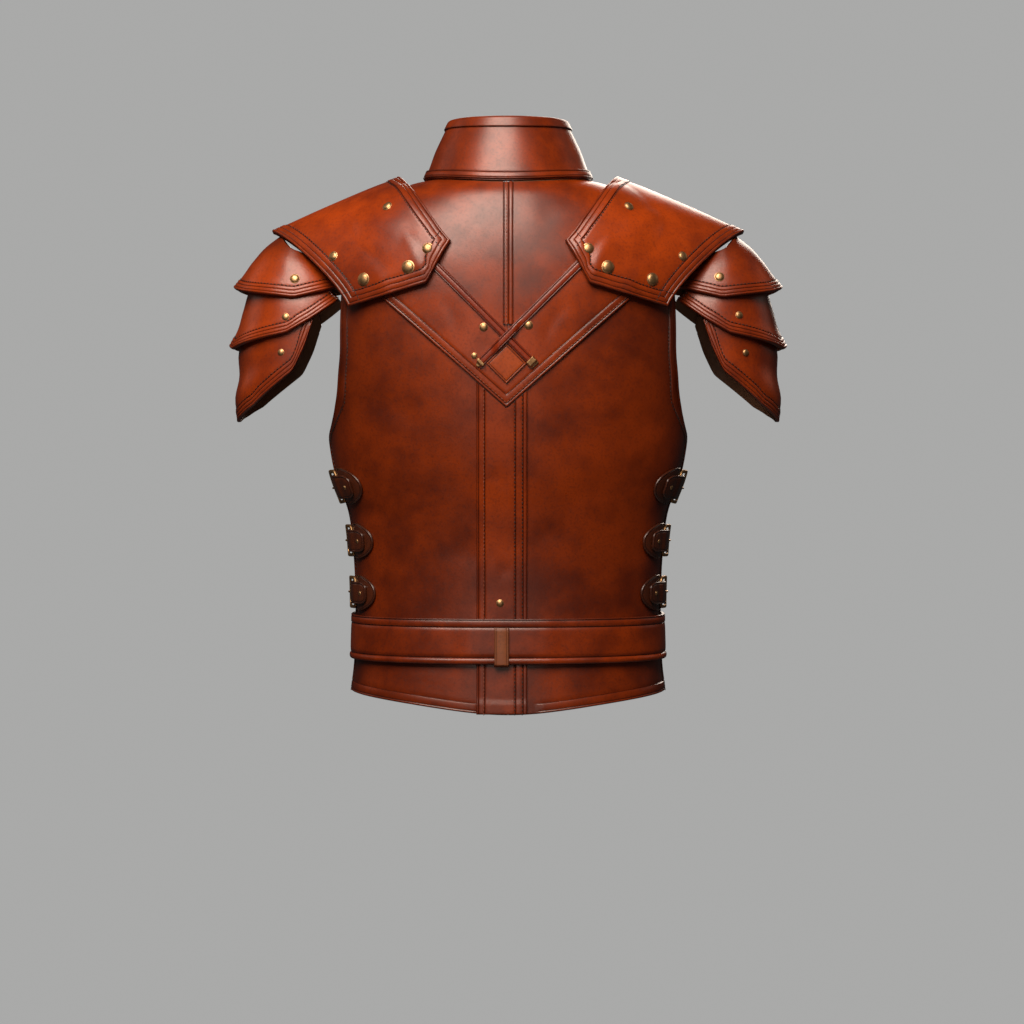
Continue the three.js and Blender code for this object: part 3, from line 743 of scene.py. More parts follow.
def binding_work(grid):
    return joined(edged(grid.ends, radius=1.0), edged(grid.sides, radius=1.0))


cut("collar_binding", binding_place, (stops(), 130, stops()), (stops(), 22, stops()),
    BINDING_THICK, binding_work, body_leather)


# ---------------------------------------------------------------- yoke
# One mitred V of 1.5 mm leather from shoulder to shoulder with a thicker lower border. Two folded
# welts cross over its upper edges, with a square of undyed leather between them, and small brass
# clips hold the welts' ends.
YOKE_THICK = TRIM - 0.7
ON_YOKE = ON_PANEL + YOKE_THICK + SEAM + 0.2
YOKE_BORDER = 9.4
WELT_HALF = 4.0
WELT_THICK = TRIM - 0.6
WELT_REACH = 80
WELT_TAIL = -26
WELT_CROSSING = -158.5
DIAMOND_REACH = 20
DIAMOND_HEIGHT = -185
DIAMOND_THICK = 1.2


def yoke_place(u, v, lift):
    s = 1 - 2 * u
    (upper_x, upper_z), (lower_x, lower_z) = (
        (YOKE_MIDDLE + reach * s, middle + (outer - middle) * np.abs(s))
        for reach, outer, middle in (YOKE_UPPER, YOKE_LOWER))
    return on_back(upper_x + (lower_x - upper_x) * v, upper_z + (lower_z - upper_z) * v,
                   ON_PANEL + lift)


def yoke_work(grid):
    rise, dark = joined(edged(grid.bottom, 2.8, YOKE_BORDER), edged(grid.top))
    border = 1 - smooth(YOKE_BORDER - 0.5, YOKE_BORDER + 0.5, grid.bottom)
    inside = smooth(YOKE_BORDER, YOKE_BORDER + 8, grid.bottom) * smooth(2, 8, grid.top)
    folds = creased(grid, [(0.20, 0.35, 0.30, 0.62, 9, 0.5), (0.66, 0.55, 0.80, 0.40, 9, 0.5),
                           (0.36, 0.6, 0.44, 0.4, 7, 0.3)]) * inside
    return rise + 0.7 * border + folds, dark


yoke = cut("back_yoke", yoke_place, ([0, 1], 109, [0, 1]),
           (stops(), 18, stops(2.8, YOKE_BORDER)), YOKE_THICK, yoke_work, body_leather)
sew("red", yoke, "bottom", 6.1, 0.02, 0.98)

welt_leather = leather("welt_leather", (0.28, 0.030, 0.004, 1), (0.15, 0.014, 0.002, 1), BURNT_AND_SHADE,
                       rough=0.36)


def welt_place(side, over):
    def place(u, v, lift):
        x = side * (WELT_REACH + (WELT_TAIL - WELT_REACH) * u)
        shift = WELT_HALF * (1 - 2 * v) * math.sqrt(2)
        hump = over * (TRIM + SEAM) * (1 - smooth(7, 15, np.abs(x)))
        return on_back(YOKE_MIDDLE + x, WELT_CROSSING + side * x + shift, ON_YOKE + hump + lift)
    return place


def welt_work(grid):
    rise, dark = joined(edged(grid.top, 1.9, radius=0.9),
                        edged(grid.bottom, 1.2, radius=0.8, depth=0.35),
                        edged(grid.right, radius=0.8))
    return rise + 0.35 * np.sin(math.pi * grid.v), dark


for side, word in SIDES:
    cut(f"yoke_welt_{word}", welt_place(side, over=side < 0), ([0, 1], 60, stops()),
        (stops(1.9), 3, stops(1.2)), WELT_THICK, welt_work, welt_leather)

light_leather = leather("light_leather", (0.44, 0.068, 0.005, 1), (0.27, 0.034, 0.003, 1), BURNT_AND_SHADE,
                        rough=0.42)


def diamond_place(u, v, lift):
    """The square stands on its corner: u and v run along its two lower-left and -right sides."""
    x = YOKE_MIDDLE + DIAMOND_REACH * (v - u)
    return on_back(x, DIAMOND_HEIGHT + DIAMOND_REACH * (1 - u - v), ON_YOKE + lift)


def diamond_work(grid):
    return edged(grid.near, 1.9, radius=0.8, depth=0.3)


cut("yoke_diamond", diamond_place, (stops(1.9), 10, stops(1.9)), (stops(1.9), 10, stops(1.9)),
    DIAMOND_THICK, diamond_work, light_leather)


# ---------------------------------------------------------------- waist belt
# A wide belt with a raised band along its top and a rolled bead along its bottom. A loop of paler
# leather holds it in the middle of the back, and a brass buckle closes it in front.
BELT_TOP = -441
BELT_BOTTOM = -487
BELT_THICK = 2.8
BELT_LEDGE = 0.8
BELT_BAND = 9.2
BELT_BEAD = 6.4
KEEPER_MIDDLE = 6.3
KEEPER_HALF = 7.2
KEEPER_TOP = -450
KEEPER_BOTTOM = -489.5
BELT_BUCKLE_AT = 184
FRONT_DEGREE = 1.8             # mm that one degree round the body covers in front
BELT_BUCKLE_HALF = (21 / FRONT_DEGREE, 27)  # degrees across, mm up
BELT_BUCKLE_WIRE = 5
BELT_TIP = (198, 154, 15)      # from, to, half height


def shell(degrees, height, lift):
    """Points on the body at an angle in degrees and a height, moved out by lift."""
    degrees, height = np.broadcast_arrays(np.asarray(degrees, float), np.asarray(height, float))
    angle = np.radians(degrees)
    high, low = np.zeros_like(angle), np.full_like(angle, LAST_RING)
    for _ in range(26):
        middle = (high + low) / 2
        above = body(angle, middle)[..., 2] > height
        high, low = np.where(above, middle, high), np.where(above, low, middle)
    return lifted(body, angle, high, lift)


def belt_lift(degrees):
    around = np.abs((np.asarray(degrees, float) + 180) % 360 - 180)
    over_strips = 1 - smooth(22, 34, around) + smooth(160, 170, around)
    return ON_PANEL + RAISE + 0.7 + over_strips * (TRIM - 1)


def belt_place(u, v, lift):
    degrees = 180 - 360 * u
    height = BELT_TOP + (BELT_BOTTOM - BELT_TOP) * v
    return shell(degrees, height, belt_lift(degrees) + lift)


def belt_work(grid):
    rise, dark = edged(grid.top, 1.8, BELT_BAND - 0.6, radius=1.1, depth=0.7, width=0.6)
    bead = rolled(grid.bottom, BELT_BEAD)
    line = np.exp(-((grid.bottom - BELT_BEAD - 0.5) / 0.6) ** 2)
    on_bead = 1 - smooth(BELT_BEAD - 0.2, BELT_BEAD + 0.3, grid.bottom)
    band = 1 - smooth(BELT_BAND - 0.9, BELT_BAND - 0.4, grid.top)
    middle = 1 - np.clip(np.abs(grid.v - 0.52) / 0.34, 0, 1) ** 4
    rise = rise + 0.55 * band + on_bead * (2.0 * bead - 1.0) - 0.6 * line + 0.5 * middle
    edge = np.exp(-(grid.bottom / 0.9) ** 2)
    return rise, np.maximum(np.maximum(dark, line), 0.7 * edge)


BEAD_STOPS = [0, 0.2, 0.5, 1, 1.8, 2.7, 3.6, 4.5, 5.3, 5.8, 6.2, 6.5, 6.8, 7.2, 7.8]
belt = cut("waist_belt", belt_place, ([0], 300, [0]),
           (stops(1.8, BELT_BAND - 0.6), 8, BEAD_STOPS), BELT_THICK, belt_work, body_leather,
           wrap=True)

ON_BELT = float(belt_lift(0)) + BELT_THICK + BELT_LEDGE + SEAM


def keeper_place(u, v, lift):
    """Tucked in under the top band, flat down the belt, and round under the bead."""
    x = KEEPER_MIDDLE + KEEPER_HALF * (1 - 2 * u)
    tuck = 0.7 * (1 - smooth(0, 0.1, v)) + 3.4 * smooth(0.94, 1.0, v) ** 2
    return on_back(x, KEEPER_TOP + (KEEPER_BOTTOM - KEEPER_TOP) * v, ON_BELT - tuck + lift)


def keeper_work(grid):
    rise, dark = edged(grid.sides, 2.0, radius=0.9, depth=0.25)
    ends, dark_ends = edged(grid.ends, radius=0.9)
    return rise + ends + 0.5 * np.sin(math.pi * grid.u), np.maximum(0.7 * dark, dark_ends)


keeper_leather = leather("keeper_leather", (0.34, 0.105, 0.030, 1), (0.22, 0.058, 0.018, 1),
                         (0.05, 0.014, 0.006, 1), rough=0.42)
cut("belt_keeper", keeper_place, (stops(2.0), 8, stops(2.0)), (stops(), 34, stops()), TRIM,
    keeper_work, keeper_leather, slot="light_leather")


# ---------------------------------------------------------------- shoulder plates
# Two caps of 3 mm leather arched over the shoulders from front to back and cut to points at
# their lower corners. Their borders are raised, with three lines tooled along every edge.
PLATE_RIBS = [
    # ridge, bend, fall and corner of a rib, from the inner edge to the outer one
    ((113, 0, 12), (104, 64, 7), (69, 104, -51), (57, 100, -62)),
    ((143, 0, 1), (136, 70, -4), (91, 116, -69), (81, 107, -105)),
    ((195, 0, -21), (184, 56, -25), (127, 100, -92), (121, 99, -116)),
    ((246, 0, -44), (231, 35, -47), (173, 74, -99), (161, 79, -127)),
]
PLATE_CLEAR = (4.7, 8.2)
PLATE_LINES = (3.2, 8.0)
PLATE_BORDER = 13.5
PLATE_CREASES = {
    1: [(0.22, 0.17, 0.60, 0.24, 14, 0.7), (0.34, 0.36, 0.72, 0.31, 18, 0.6),
        (0.30, 0.70, 0.66, 0.76, 16, 0.7), (0.55, 0.10, 0.62, 0.22, 9, 0.4)],
    -1: [(0.26, 0.24, 0.68, 0.18, 15, 0.7), (0.30, 0.33, 0.60, 0.38, 16, 0.5),
         (0.36, 0.78, 0.70, 0.70, 15, 0.7)],
}


def clear_of_body(point, clearance):
    """Moves points out until they clear the body by a distance."""
    angle = np.arctan2(point[..., 0], point[..., 1])
    ring = np.full_like(angle, 3.0)
    step = 1e-3
    for _ in range(36):
        here = body(angle, ring)
        over_u = (body(angle + step, ring) - here) / step
        over_v = (body(angle, ring + step) - here) / step
        miss = point - here
        angle = angle + 0.6 * (miss * over_u).sum(-1) / (over_u ** 2).sum(-1)
        ring = np.clip(ring + 0.6 * (miss * over_v).sum(-1) / (over_v ** 2).sum(-1), 0, LAST_RING)
    out = outward(body, angle, ring)
    distance = ((point - body(angle, ring)) * out).sum(-1)
    return point + out * np.maximum(clearance - distance, 0)[..., None]


def plate_point(across, over):
    """A point on the plate's face: 0 to 3 from the inner edge out, 1 to -1 from back to front."""
    across, over = np.broadcast_arrays(np.asarray(across, float), np.asarray(over, float))
    share = np.abs(over)
    weights = ((1 - share) ** 3, 3 * share * (1 - share) ** 2, 3 * share ** 2 * (1 - share),
               share ** 3)
    ribs = np.array(PLATE_RIBS, float)
    point = np.zeros(across.shape + (3,))
    for row, weight in enumerate(weights):
        for axis in range(3):
            values = ribs[:, row, axis]
            read = curve_through(values, across) if row < 2 else np.interp(
                across, range(4), values)
            point[..., axis] += weight * read
    inner, outer = PLATE_CLEAR
    clearance = inner + (outer - inner) * smooth(0, 0.4, across) + PANEL
    point = clear_of_body(point, clearance)
    point[..., 1] *= np.where(over < 0, -1, 1)
    return point


def plate_place(u, v, lift):
    return lifted(plate_point, 3 * u, 1 - 2 * v, lift - PANEL)


def plate_work(side):
    def work(grid):
        near = grid.near
        rise, dark = edged(near, *PLATE_LINES, PLATE_BORDER, radius=1.5)
        border = 1 - smooth(PLATE_BORDER - 0.7, PLATE_BORDER + 0.3, near)
        bead = 0.35 * np.sin(math.pi * np.clip(near / PLATE_LINES[0], 0, 1))
        inside = smooth(PLATE_BORDER, PLATE_BORDER + 10, near)
        folds = creased(grid, PLATE_CREASES[side]) * inside
        # Darker towards every edge: partly rubbed-in dye, partly painted shade for light falling
        # off towards the plate's ends.
        return rise + RAISE * border + bead + folds, rubbed_dye_and_shade(dark, near, 13, 0.5)
    return work


plate_leather = leather("plate_leather", (0.44, 0.055, 0.003, 1), (0.18, 0.019, 0.0015, 1), BURNT_AND_SHADE,
                        rough=0.38)
plates = {}
plate_edge = stops(*PLATE_LINES, PLATE_BORDER)
for side, word in SIDES:
    plates[side] = cut(
        f"shoulder_plate_{word}", plate_place, (plate_edge, 34, plate_edge),
        (plate_edge, 74, plate_edge), PANEL, plate_work(side), plate_leather, side)
    for edge in ("left", "right", "top", "bottom"):
        sew("dark", plates[side], edge, PLATE_BORDER + 0.95, 0.075, 0.925)


# ---------------------------------------------------------------- lames
# Three bands of leather round each upper arm, hung from the plate and from one another and
# lapped like tiles. Their lower borders are raised, and the corners flare outwards.
LAME = 2.6
ARM = 218
LAMES = [
    # reach out, and fore and aft, at five heights; then degrees round, top and bottom heights
    ((17, 35, 47, 56.5, 67), (39, 47, 52.5, 56.5, 60),
     ((0, -47.5, -102), (35, -54, -108), (70, -63, -113), (90, -66, -116), (108, -67.5, -111),
      (125, -70, -106), (150, -73, -104))),
    ((44, 52, 57.5, 62.5, 71.5), (53.2, 55.4, 58, 60, 62.5),
     ((0, -88, -163), (20, -91, -167), (84, -104, -152), (105, -104, -137), (130, -100, -116))),
    ((58, 62.5, 62, 66, 63), (56.7, 57.5, 58.5, 59.5, 60),
     ((0, -150, -243), (25, -149, -236), (47, -146, -226), (63, -143, -213), (89, -139, -191),
      (100, -132, -166), (107, -127, -141))),
]
LAME_LINES = (3.0, 6.8)
LAME_BORDER = 10.6


def lame_point(lame):
    out, deep, edges = lame
    degrees, tops, bottoms = zip(*edges)

    def point(round_arm, down):
        round_arm, down = np.broadcast_arrays(np.asarray(round_arm, float), down)
        spread = np.abs(round_arm)
        top, low = (sum(np.interp(np.abs(spread + 1.6 * k), degrees, heights)
                        for k in (-1, 0, 1)) / 3 for heights in (tops, bottoms))
        angle = np.radians(round_arm)
        x = ARM + curve_through(out, 4 * down) * np.cos(angle)
        y = curve_through(deep, 4 * down) * np.sin(angle)
        return np.stack([x, y, top + (low - top) * down], -1)
    return point


def lame_place(lame):
    widest = lame[2][-1][0]
    surface = lame_point(lame)

    def place(u, v, lift):
        return lifted(surface, widest * (1 - 2 * u), v, lift - LAME, -1)
    return place


def lame_work(row, side):
    def work(grid):
        rise, dark = joined(edged(grid.bottom, *LAME_LINES, LAME_BORDER, radius=1.4),
                            edged(grid.sides, 2.4), edged(grid.top))
        to_end = smooth(3, 18, grid.sides)
        border = to_end * (1 - smooth(LAME_BORDER - 0.7, LAME_BORDER + 0.3, grid.bottom))
        bead = 0.3 * to_end * np.sin(math.pi * np.clip(grid.bottom / LAME_LINES[0], 0, 1))
        shift = 0.05 * row * side
        rows = [(0.24 + shift, 0.50, 0.36 + shift, 0.72, 10, 0.6),
                (0.62 - shift, 0.66, 0.78 - shift, 0.48, 12, 0.6),
                (0.44, 0.40 + shift, 0.57, 0.52, 12, 0.4)]
        inside = smooth(LAME_BORDER, LAME_BORDER + 7, grid.bottom)
        folds = creased(grid, rows) * inside * smooth(2, 8, grid.sides)
        # Darker towards the top edge, under the plate or the lame above, and towards the lower
        # edge: partly rubbed-in dye, partly painted shade.
        dark = rubbed_dye_and_shade(rubbed_dye_and_shade(dark, grid.top, 20, 0.75), grid.bottom, 9, 0.4)
        return rise + 0.9 * border + bead + folds, dark
    return work


lames = {}
for row, lame in enumerate(LAMES):
    for side, word in SIDES:
        lames[row, side] = cut(
            f"lame_{row + 1}_{word}", lame_place(lame), (stops(2.4), 62, stops(2.4)),
            (stops(), 12, stops(*LAME_LINES, LAME_BORDER)), LAME, lame_work(row, side),
            plate_leather, side)
        sew("dark", lames[row, side], "bottom", LAME_BORDER + 0.95, 0.02, 0.98)


# ---------------------------------------------------------------- side straps
# Three straps down each side close the vest. A D-shaped tab riveted to the back panel holds a
# brass buckle. The strap comes from the front, goes under the buckle's far bar and over its near
# one, and its round end lies on the tab. The prong goes up through the strap to the far bar.
SIDE_HEIGHTS = (-307, -364, -418)
TAB_HALF = 18.5
TAB_START = 67.5
TAB_END = 79.2
NEAR_BAR, FAR_BAR = 79.5, 88.5
SIDE_BUCKLE_HALF = 17
SIDE_WIRE = 3.6
SIDE_BUCKLE_THICK = 2.6
SIDE_DEGREE = 2.75             # mm that one degree round the body covers at the side
SIDE_CLIMB = (83.2, 86.5)      # where the prong rises to the far bar
STRAP_TIP = 71.5
STRAP_ROOT = 116
STRAP_HALF = 11.5
STRAP_HOLES = (92.5, 97.5, 102.5)
ON_EDGE = ON_PANEL + RAISE + 0.2
TAB_LIFT = ON_PANEL + 0.3

dark_leather = leather("dark_leather", (0.115, 0.026, 0.009, 1), (0.050, 0.012, 0.005, 1),
                       (0.010, 0.003, 0.002, 1), rough=0.30, coat=0.35, grain=0.8)


def brass_finish(wire):
    place = wire.node("ShaderNodeTexCoord", output="Object")
    hollow = wire.node("ShaderNodeAttribute", {"attribute_name": "burnish_tarnish_and_shade"}, output="Fac")
    spots = place.noise(160.0, 4.0).ease(0.45, 0.68)
    tarnish = (spots * 0.55 + 0.8 * hollow).ease(0.0, 1.0)
    tone = wire.colour(tarnish, (0.60, 0.36, 0.17, 1), (0.17, 0.085, 0.040, 1))
    return wire.node("ShaderNodeBsdfPrincipled", None, {
        "Base Color": tone, "Metallic": 1.0, "Normal": place.noise(600.0).bump(0.25, 0.0002),
        "Roughness": 0.32 + 0.2 * place.noise(300.0) + 0.25 * tarnish})


brass = material("antique_brass", brass_finish)


def tab_place(height):
    def place(u, v, lift):
        up = TAB_HALF * (1 - 2 * v)
        bulge = np.sqrt(1 - (up / (TAB_HALF + 0.7)) ** 2)
        start = TAB_END - (TAB_END - TAB_START) * bulge
        return shell(start + (TAB_END - start) * u, height + up, TAB_LIFT + lift)
    return place


def tab_work(grid):
    near = np.minimum(grid.left, grid.ends)
    rise, dark = edged(near, 2.2, radius=1.0, depth=0.35)
    return rise + 0.25 * np.exp(-((near - 1.1) / 0.7) ** 2), dark


def strap_lift(degrees):
    on_tab = TAB_LIFT + TRIM + 0.1
    over_bar = ON_EDGE + SIDE_BUCKLE_THICK + 0.5
    near = on_tab + (over_bar - on_tab) * smooth(76.5, 79, degrees)
    far = over_bar + (ON_EDGE - over_bar) * smooth(82, 86.5, degrees)
    return np.where(degrees < 80, near, far)


def strap_place(height):
    def place(u, v, lift):
        degrees = STRAP_TIP + (STRAP_ROOT - STRAP_TIP) * u
        round_end = 0.4 + 0.6 * np.sqrt(1 - (1 - np.clip(u / 0.085, 0, 1)) ** 2)
        up = STRAP_HALF * round_end * (1 - 2 * v)
        return shell(degrees, height + up, strap_lift(degrees) + lift)
    return place


def punched(rise, dark, degrees, up, holes, degree, radius, deep):
    """Holes punched in a row, at their degrees round the body."""
    for hole in holes:
        inside = 1 - smooth(radius, radius + 0.7, np.hypot((degrees - hole) * degree, up))
        rise, dark = rise - deep * inside, np.maximum(dark, inside)
    return rise, dark


def strap_work(grid):
    degrees = STRAP_TIP + (STRAP_ROOT - STRAP_TIP) * grid.u
    rise, dark = punched(*edged(grid.near, 2.0, radius=0.9, depth=0.3), degrees,
                         (grid.v - 0.5) * 2 * STRAP_HALF, STRAP_HOLES, SIDE_DEGREE, 1.1, 1.3)
    return rise + 0.3 * np.sin(math.pi * grid.v), dark


def fitting(node, shapes, side=1):
    """One brass piece from closed shapes, each its points in mm, faces and tarnish."""
    points, faces, tarnish, count = [], [], [], 0
    for shape_points, shape_faces, shape_tarnish in shapes:
        flat = shape_points.reshape(-1, 3) * (side, 1, 1)
        faces += (outward_faces(flat, shape_faces) + count).tolist()
        points.append(flat)
        tarnish.append(np.asarray(shape_tarnish).ravel())
        count += len(flat)
    made = solid(f"{node}_brass", np.concatenate(points) * MM, faces, brass,
                 {"burnish_tarnish_and_shade": np.concatenate(tarnish)})
    settle(made, "antique_brass", node)


def wire_frame(middle, half_degrees, height, half_up, wire, lift, thick):
    """A flat wire ring with square-cut round corners and section, laid on the body."""
    turns = np.linspace(0, 2 * math.pi, 15)[:-1]
    across, up = (np.sign(wave) * np.abs(wave) ** 0.75 for wave in (np.cos(turns), np.sin(turns)))
    bend, inset = np.meshgrid(np.linspace(0, 2 * math.pi, 73)[:-1], 0.5 - 0.5 * across,
                              indexing="ij")
    rise = np.broadcast_to(0.5 + 0.5 * up, bend.shape)
    reach = np.linalg.norm(shell(middle, height, 0.0) - shell(middle + 1, height, 0.0))
    corner = (np.cos(bend) ** 4 + np.sin(bend) ** 4) ** -0.25
    across = (half_degrees - inset * wire / reach) * np.cos(bend) * corner
    up = (half_up - inset * wire) * np.sin(bend) * corner
    points = shell(middle + across, height + up, lift(middle + across) + rise * thick)
    index = np.arange(bend.size).reshape(bend.shape)
    ahead, beside = np.roll(index, -1, 0), np.roll(index, -1, 1)
    faces = np.stack([index, ahead, np.roll(ahead, -1, 1), beside], -1).reshape(-1, 4)
    return points, faces, 0.6 * (1 - rise)


def rod(line, radii, sides=12):
    """A round rod with closed ends along a line of points."""
    line = np.asarray(line, float)
    along = np.gradient(line, axis=0)
    along /= np.linalg.norm(along, axis=1, keepdims=True)
    first = np.cross(along, (0.0, 0.0, 1.0))
    first /= np.linalg.norm(first, axis=1, keepdims=True)
    second = np.cross(along, first)
    turns = np.linspace(0, 2 * math.pi, sides + 1)[:-1]
    circle = first[:, None] * np.cos(turns)[:, None] + second[:, None] * np.sin(turns)[:, None]
    points = (line[:, None] + circle * np.asarray(radii, float)[:, None, None]).reshape(-1, 3)
    index = np.arange(len(points)).reshape(len(line), sides)
    beside = np.roll(index, -1, 1)
    faces = np.stack([index[:-1], index[1:], beside[1:], beside[:-1]], -1).reshape(-1, 4).tolist()
    for k in range(sides // 2 - 1):
        across = [k, k + 1, sides - 2 - k, sides - 1 - k]
        faces += [index[0][across].tolist(), index[-1][across[::-1]].tolist()]
    return points, np.array(faces), np.zeros(len(points))


def prong(first, last, height, low, high, climb, thick_to_thin, count):
    """A buckle's prong: over the leather at one lift, then up to the bar at another."""
    degrees = np.linspace(first, last, count)
    lift = low + (high - low) * smooth(*climb, degrees)
    return rod(shell(degrees, height, lift), np.linspace(*thick_to_thin, count))


def side_buckle_lift(degrees):
    return ON_EDGE + (TRIM + 0.4) * smooth(82, 86.5, degrees)


for row, height in enumerate(SIDE_HEIGHTS):
    for side, word in SIDES:
        place = f"{row + 1}_{word}"
        cut(f"side_tab_{place}", tab_place(height), (stops(2.2), 8, [0, 0.5]),
            (stops(2.2), 16, stops(2.2)), TRIM - 0.4, tab_work, dark_leather, side)
        strap = cut(f"side_strap_{place}", strap_place(height), (stops(2.0), 84, stops(2.0)),
                    (stops(2.0), 8, stops(2.0)), TRIM - 0.2, strap_work, dark_leather, side)
        sew("red", strap, "right", 3.4, 0.15, 0.85)
        ring = wire_frame((NEAR_BAR + FAR_BAR) / 2, (FAR_BAR - NEAR_BAR) / 2, height,
                          SIDE_BUCKLE_HALF, SIDE_WIRE, side_buckle_lift, SIDE_BUCKLE_THICK)
        tongue = prong(SIDE_CLIMB[0], FAR_BAR - 0.2, height,
                       strap_lift(SIDE_CLIMB[0]) + TRIM - 0.9,
                       side_buckle_lift(FAR_BAR) + SIDE_BUCKLE_THICK + 0.5, SIDE_CLIMB,
                       (1.25, 0.85), 9)
        fitting(f"side_buckle_{place}", [ring, tongue], side)


# ---------------------------------------------------------------- belt buckle
# The belt closes in front: its pointed end goes under the buckle's outer bar and over the inner
# one, with the prong through one of its punched holes.
FRONT_BELT = float(belt_lift(180)) + BELT_THICK + BELT_LEDGE + SEAM
BELT_MIDDLE = (BELT_TOP + BELT_BOTTOM) / 2
BUCKLE_THICK = 3.2
TIP_HOLES = (158.5, 163, 167.5)
INNER_BAR, OUTER_BAR = (BELT_BUCKLE_AT + way * BELT_BUCKLE_HALF[0] for way in (-1, 1))


def tip_lift(degrees):
    hump = smooth(INNER_BAR - 5, INNER_BAR - 0.5, degrees)
    hump = hump * (1 - smooth(INNER_BAR + 3.5, INNER_BAR + 8, degrees))
    return FRONT_BELT + (BUCKLE_THICK + 0.6) * hump


def tip_place(u, v, lift):
    start, end, half = BELT_TIP
    degrees = start + (end - start) * u
    point = 1 - 0.82 * smooth(0.80, 1.0, u) ** 1.5
    return shell(degrees, BELT_MIDDLE + half * point * (1 - 2 * v), tip_lift(degrees) + lift)


def tip_work(grid):
    start, end, half = BELT_TIP
    return punched(*edged(np.minimum(grid.right, grid.ends), 2.6, radius=1.0, depth=0.35),
                   start + (end - start) * grid.u, (grid.v - 0.5) * 2 * half, TIP_HOLES,
                   FRONT_DEGREE, 1.5, 1.4)


def belt_buckle_lift(degrees):
    return FRONT_BELT + (TRIM + SEAM) * smooth(INNER_BAR + 4, OUTER_BAR - 5, degrees)


cut("belt_tip", tip_place, ([0, 0.5], 66, stops(2.6)), (stops(2.6), 12, stops(2.6)), TRIM,
    tip_work, dark_leather)
ring = wire_frame(BELT_BUCKLE_AT, BELT_BUCKLE_HALF[0], BELT_MIDDLE, BELT_BUCKLE_HALF[1],
                  BELT_BUCKLE_WIRE, belt_buckle_lift, BUCKLE_THICK)
tongue = prong(INNER_BAR + 5.5, OUTER_BAR + 0.6, BELT_MIDDLE,
               tip_lift(INNER_BAR + 5.5) + TRIM - 1.5,
               belt_buckle_lift(OUTER_BAR) + BUCKLE_THICK + 0.8, (INNER_BAR + 6, OUTER_BAR - 5),
               (1.9, 1.3), 12)
fitting("belt_buckle", [ring, tongue])


# ---------------------------------------------------------------- welt clips
# Thin brass caps pressed over the welts' free ends: a broad curved one on the left welt, and a
# small pointed one on the right welt.
CLIP_THICK = 0.9
CLIPS = [
    # side, from and to along the welt past its end, half width at both
    (1, -5.0, 3.6, 5.6, 4.6),
    (-1, -2.5, 4.6, 5.2, 0.9),
]


def clip_place(side, first, last, wide, narrow):
    def place(u, v, lift):
        along = first + (last - first) * u
        half = wide + (narrow - wide) * u ** 1.5
        across = half * (2 * v - 1)
        x = YOKE_MIDDLE + side * (WELT_TAIL + (across - along) / math.sqrt(2))
        z = WELT_CROSSING + WELT_TAIL - (across + along) / math.sqrt(2)
        over_welt = (1 - smooth(0.3, 2.2, along)) * (1 - smooth(4.0, 5.4, np.abs(across)))
        return on_back(x, z, ON_YOKE + 0.1 + (WELT_THICK + 0.5) * over_welt + lift)
    return place


for clip in CLIPS:
    place = clip_place(*clip)
    grid = fit(place, (stops(), 10, stops()), (stops(), 12, stops()))
    rise, dark = edged(grid.near, radius=0.6)
    inner, outer = (place(grid.u, grid.v, lift) for lift in (0.0, CLIP_THICK + rise))
    word = "left" if clip[0] > 0 else "right"
    settle(wall(f"welt_clip_{word}_brass", inner, outer, 0.25 * dark, brass), "antique_brass")


# ---------------------------------------------------------------- studs
# Domed brass studs with a thin flange rivet the plates, the lames, the yoke and the strap ends.
# Each is turned in one piece, set square to the leather and pressed a little into it.
STUD_RADIUS = 5.6
PLATE_STUDS = [(122, -25, 0.90), (80, -70.5, 1.02), (99.5, -89, 1.2), (145, -100, 1.2),
               (177, -75, 0.90)]
LAME_STUDS = {
    # x, z and share of the full radius, on the left lames and on the right ones
    1: [(217, -97, 0.9), (226, -136, 0.68), (231, -172, 0.62)],
    -1: [(215, -95, 0.9), (235, -134, 0.7), (242, -172, 0.62)],
}
YOKE_STUDS = [(24.0, -149.2, 0.76), (-20.3, -147.2, 0.78), (33.2, -177.4, 0.55)]
STRIP_STUD = (8.0, -425.3, 0.68)
STRAP_STUD_AT = 74.6
ROOT_STUD_AT = 111.5
STRAP_STUD_SHARE = 0.42


STUD_HEIGHT = 0.42             # all as shares of the radius or the height
STUD_FLANGE = 0.12
DOME_FROM = 0.14
FLANGE_EDGE = (0.12, 0.20)
stud_rows = []


def set_stud(point, direction, share, side=1, both_faces=False):
    """Adds a stud, and its twin on the front of a piece that is alike in front and behind."""
    for front in ((1, -1) if both_faces else (1,)):
        turn = np.array((side, front, 1.0))
        stud_rows.append((point * turn * MM, direction * turn, share * STUD_RADIUS * MM))


for x, z, share in PLATE_STUDS:
    across, over = find_on(plate_point, x, z, 1.5, 0.7, 9, 0.9)
    out = outward(plate_point, across, over)
    seat = plate_point(across, over) + 0.1 * out
    for side in (1, -1):
        set_stud(seat, out, share, side, both_faces=True)
for side in (1, -1):
    for lame, (x, z, share) in zip(LAMES, LAME_STUDS[side]):
        surface = lame_point(lame)
        round_arm, down = find_on(surface, x, z, 88.0, 0.75, 9, 0.9)
        out = -outward(surface, round_arm, down)
        set_stud(surface(round_arm, down), out, share, side, both_faces=True)
    for height in SIDE_HEIGHTS:
        for degrees in (STRAP_STUD_AT, ROOT_STUD_AT):
            seat = shell(degrees, height, strap_lift(degrees) + TRIM)
            out = seat - shell(degrees, height, 0.0)
            set_stud(seat, out / np.linalg.norm(out), STRAP_STUD_SHARE, side)
for x, z, share in YOKE_STUDS + [STRIP_STUD]:
    lift = ON_PANEL + YOKE_THICK
    out = on_back(x, z, lift + 1) - on_back(x, z, lift)
    set_stud(on_back(x, z, lift + 0.1), out, share)


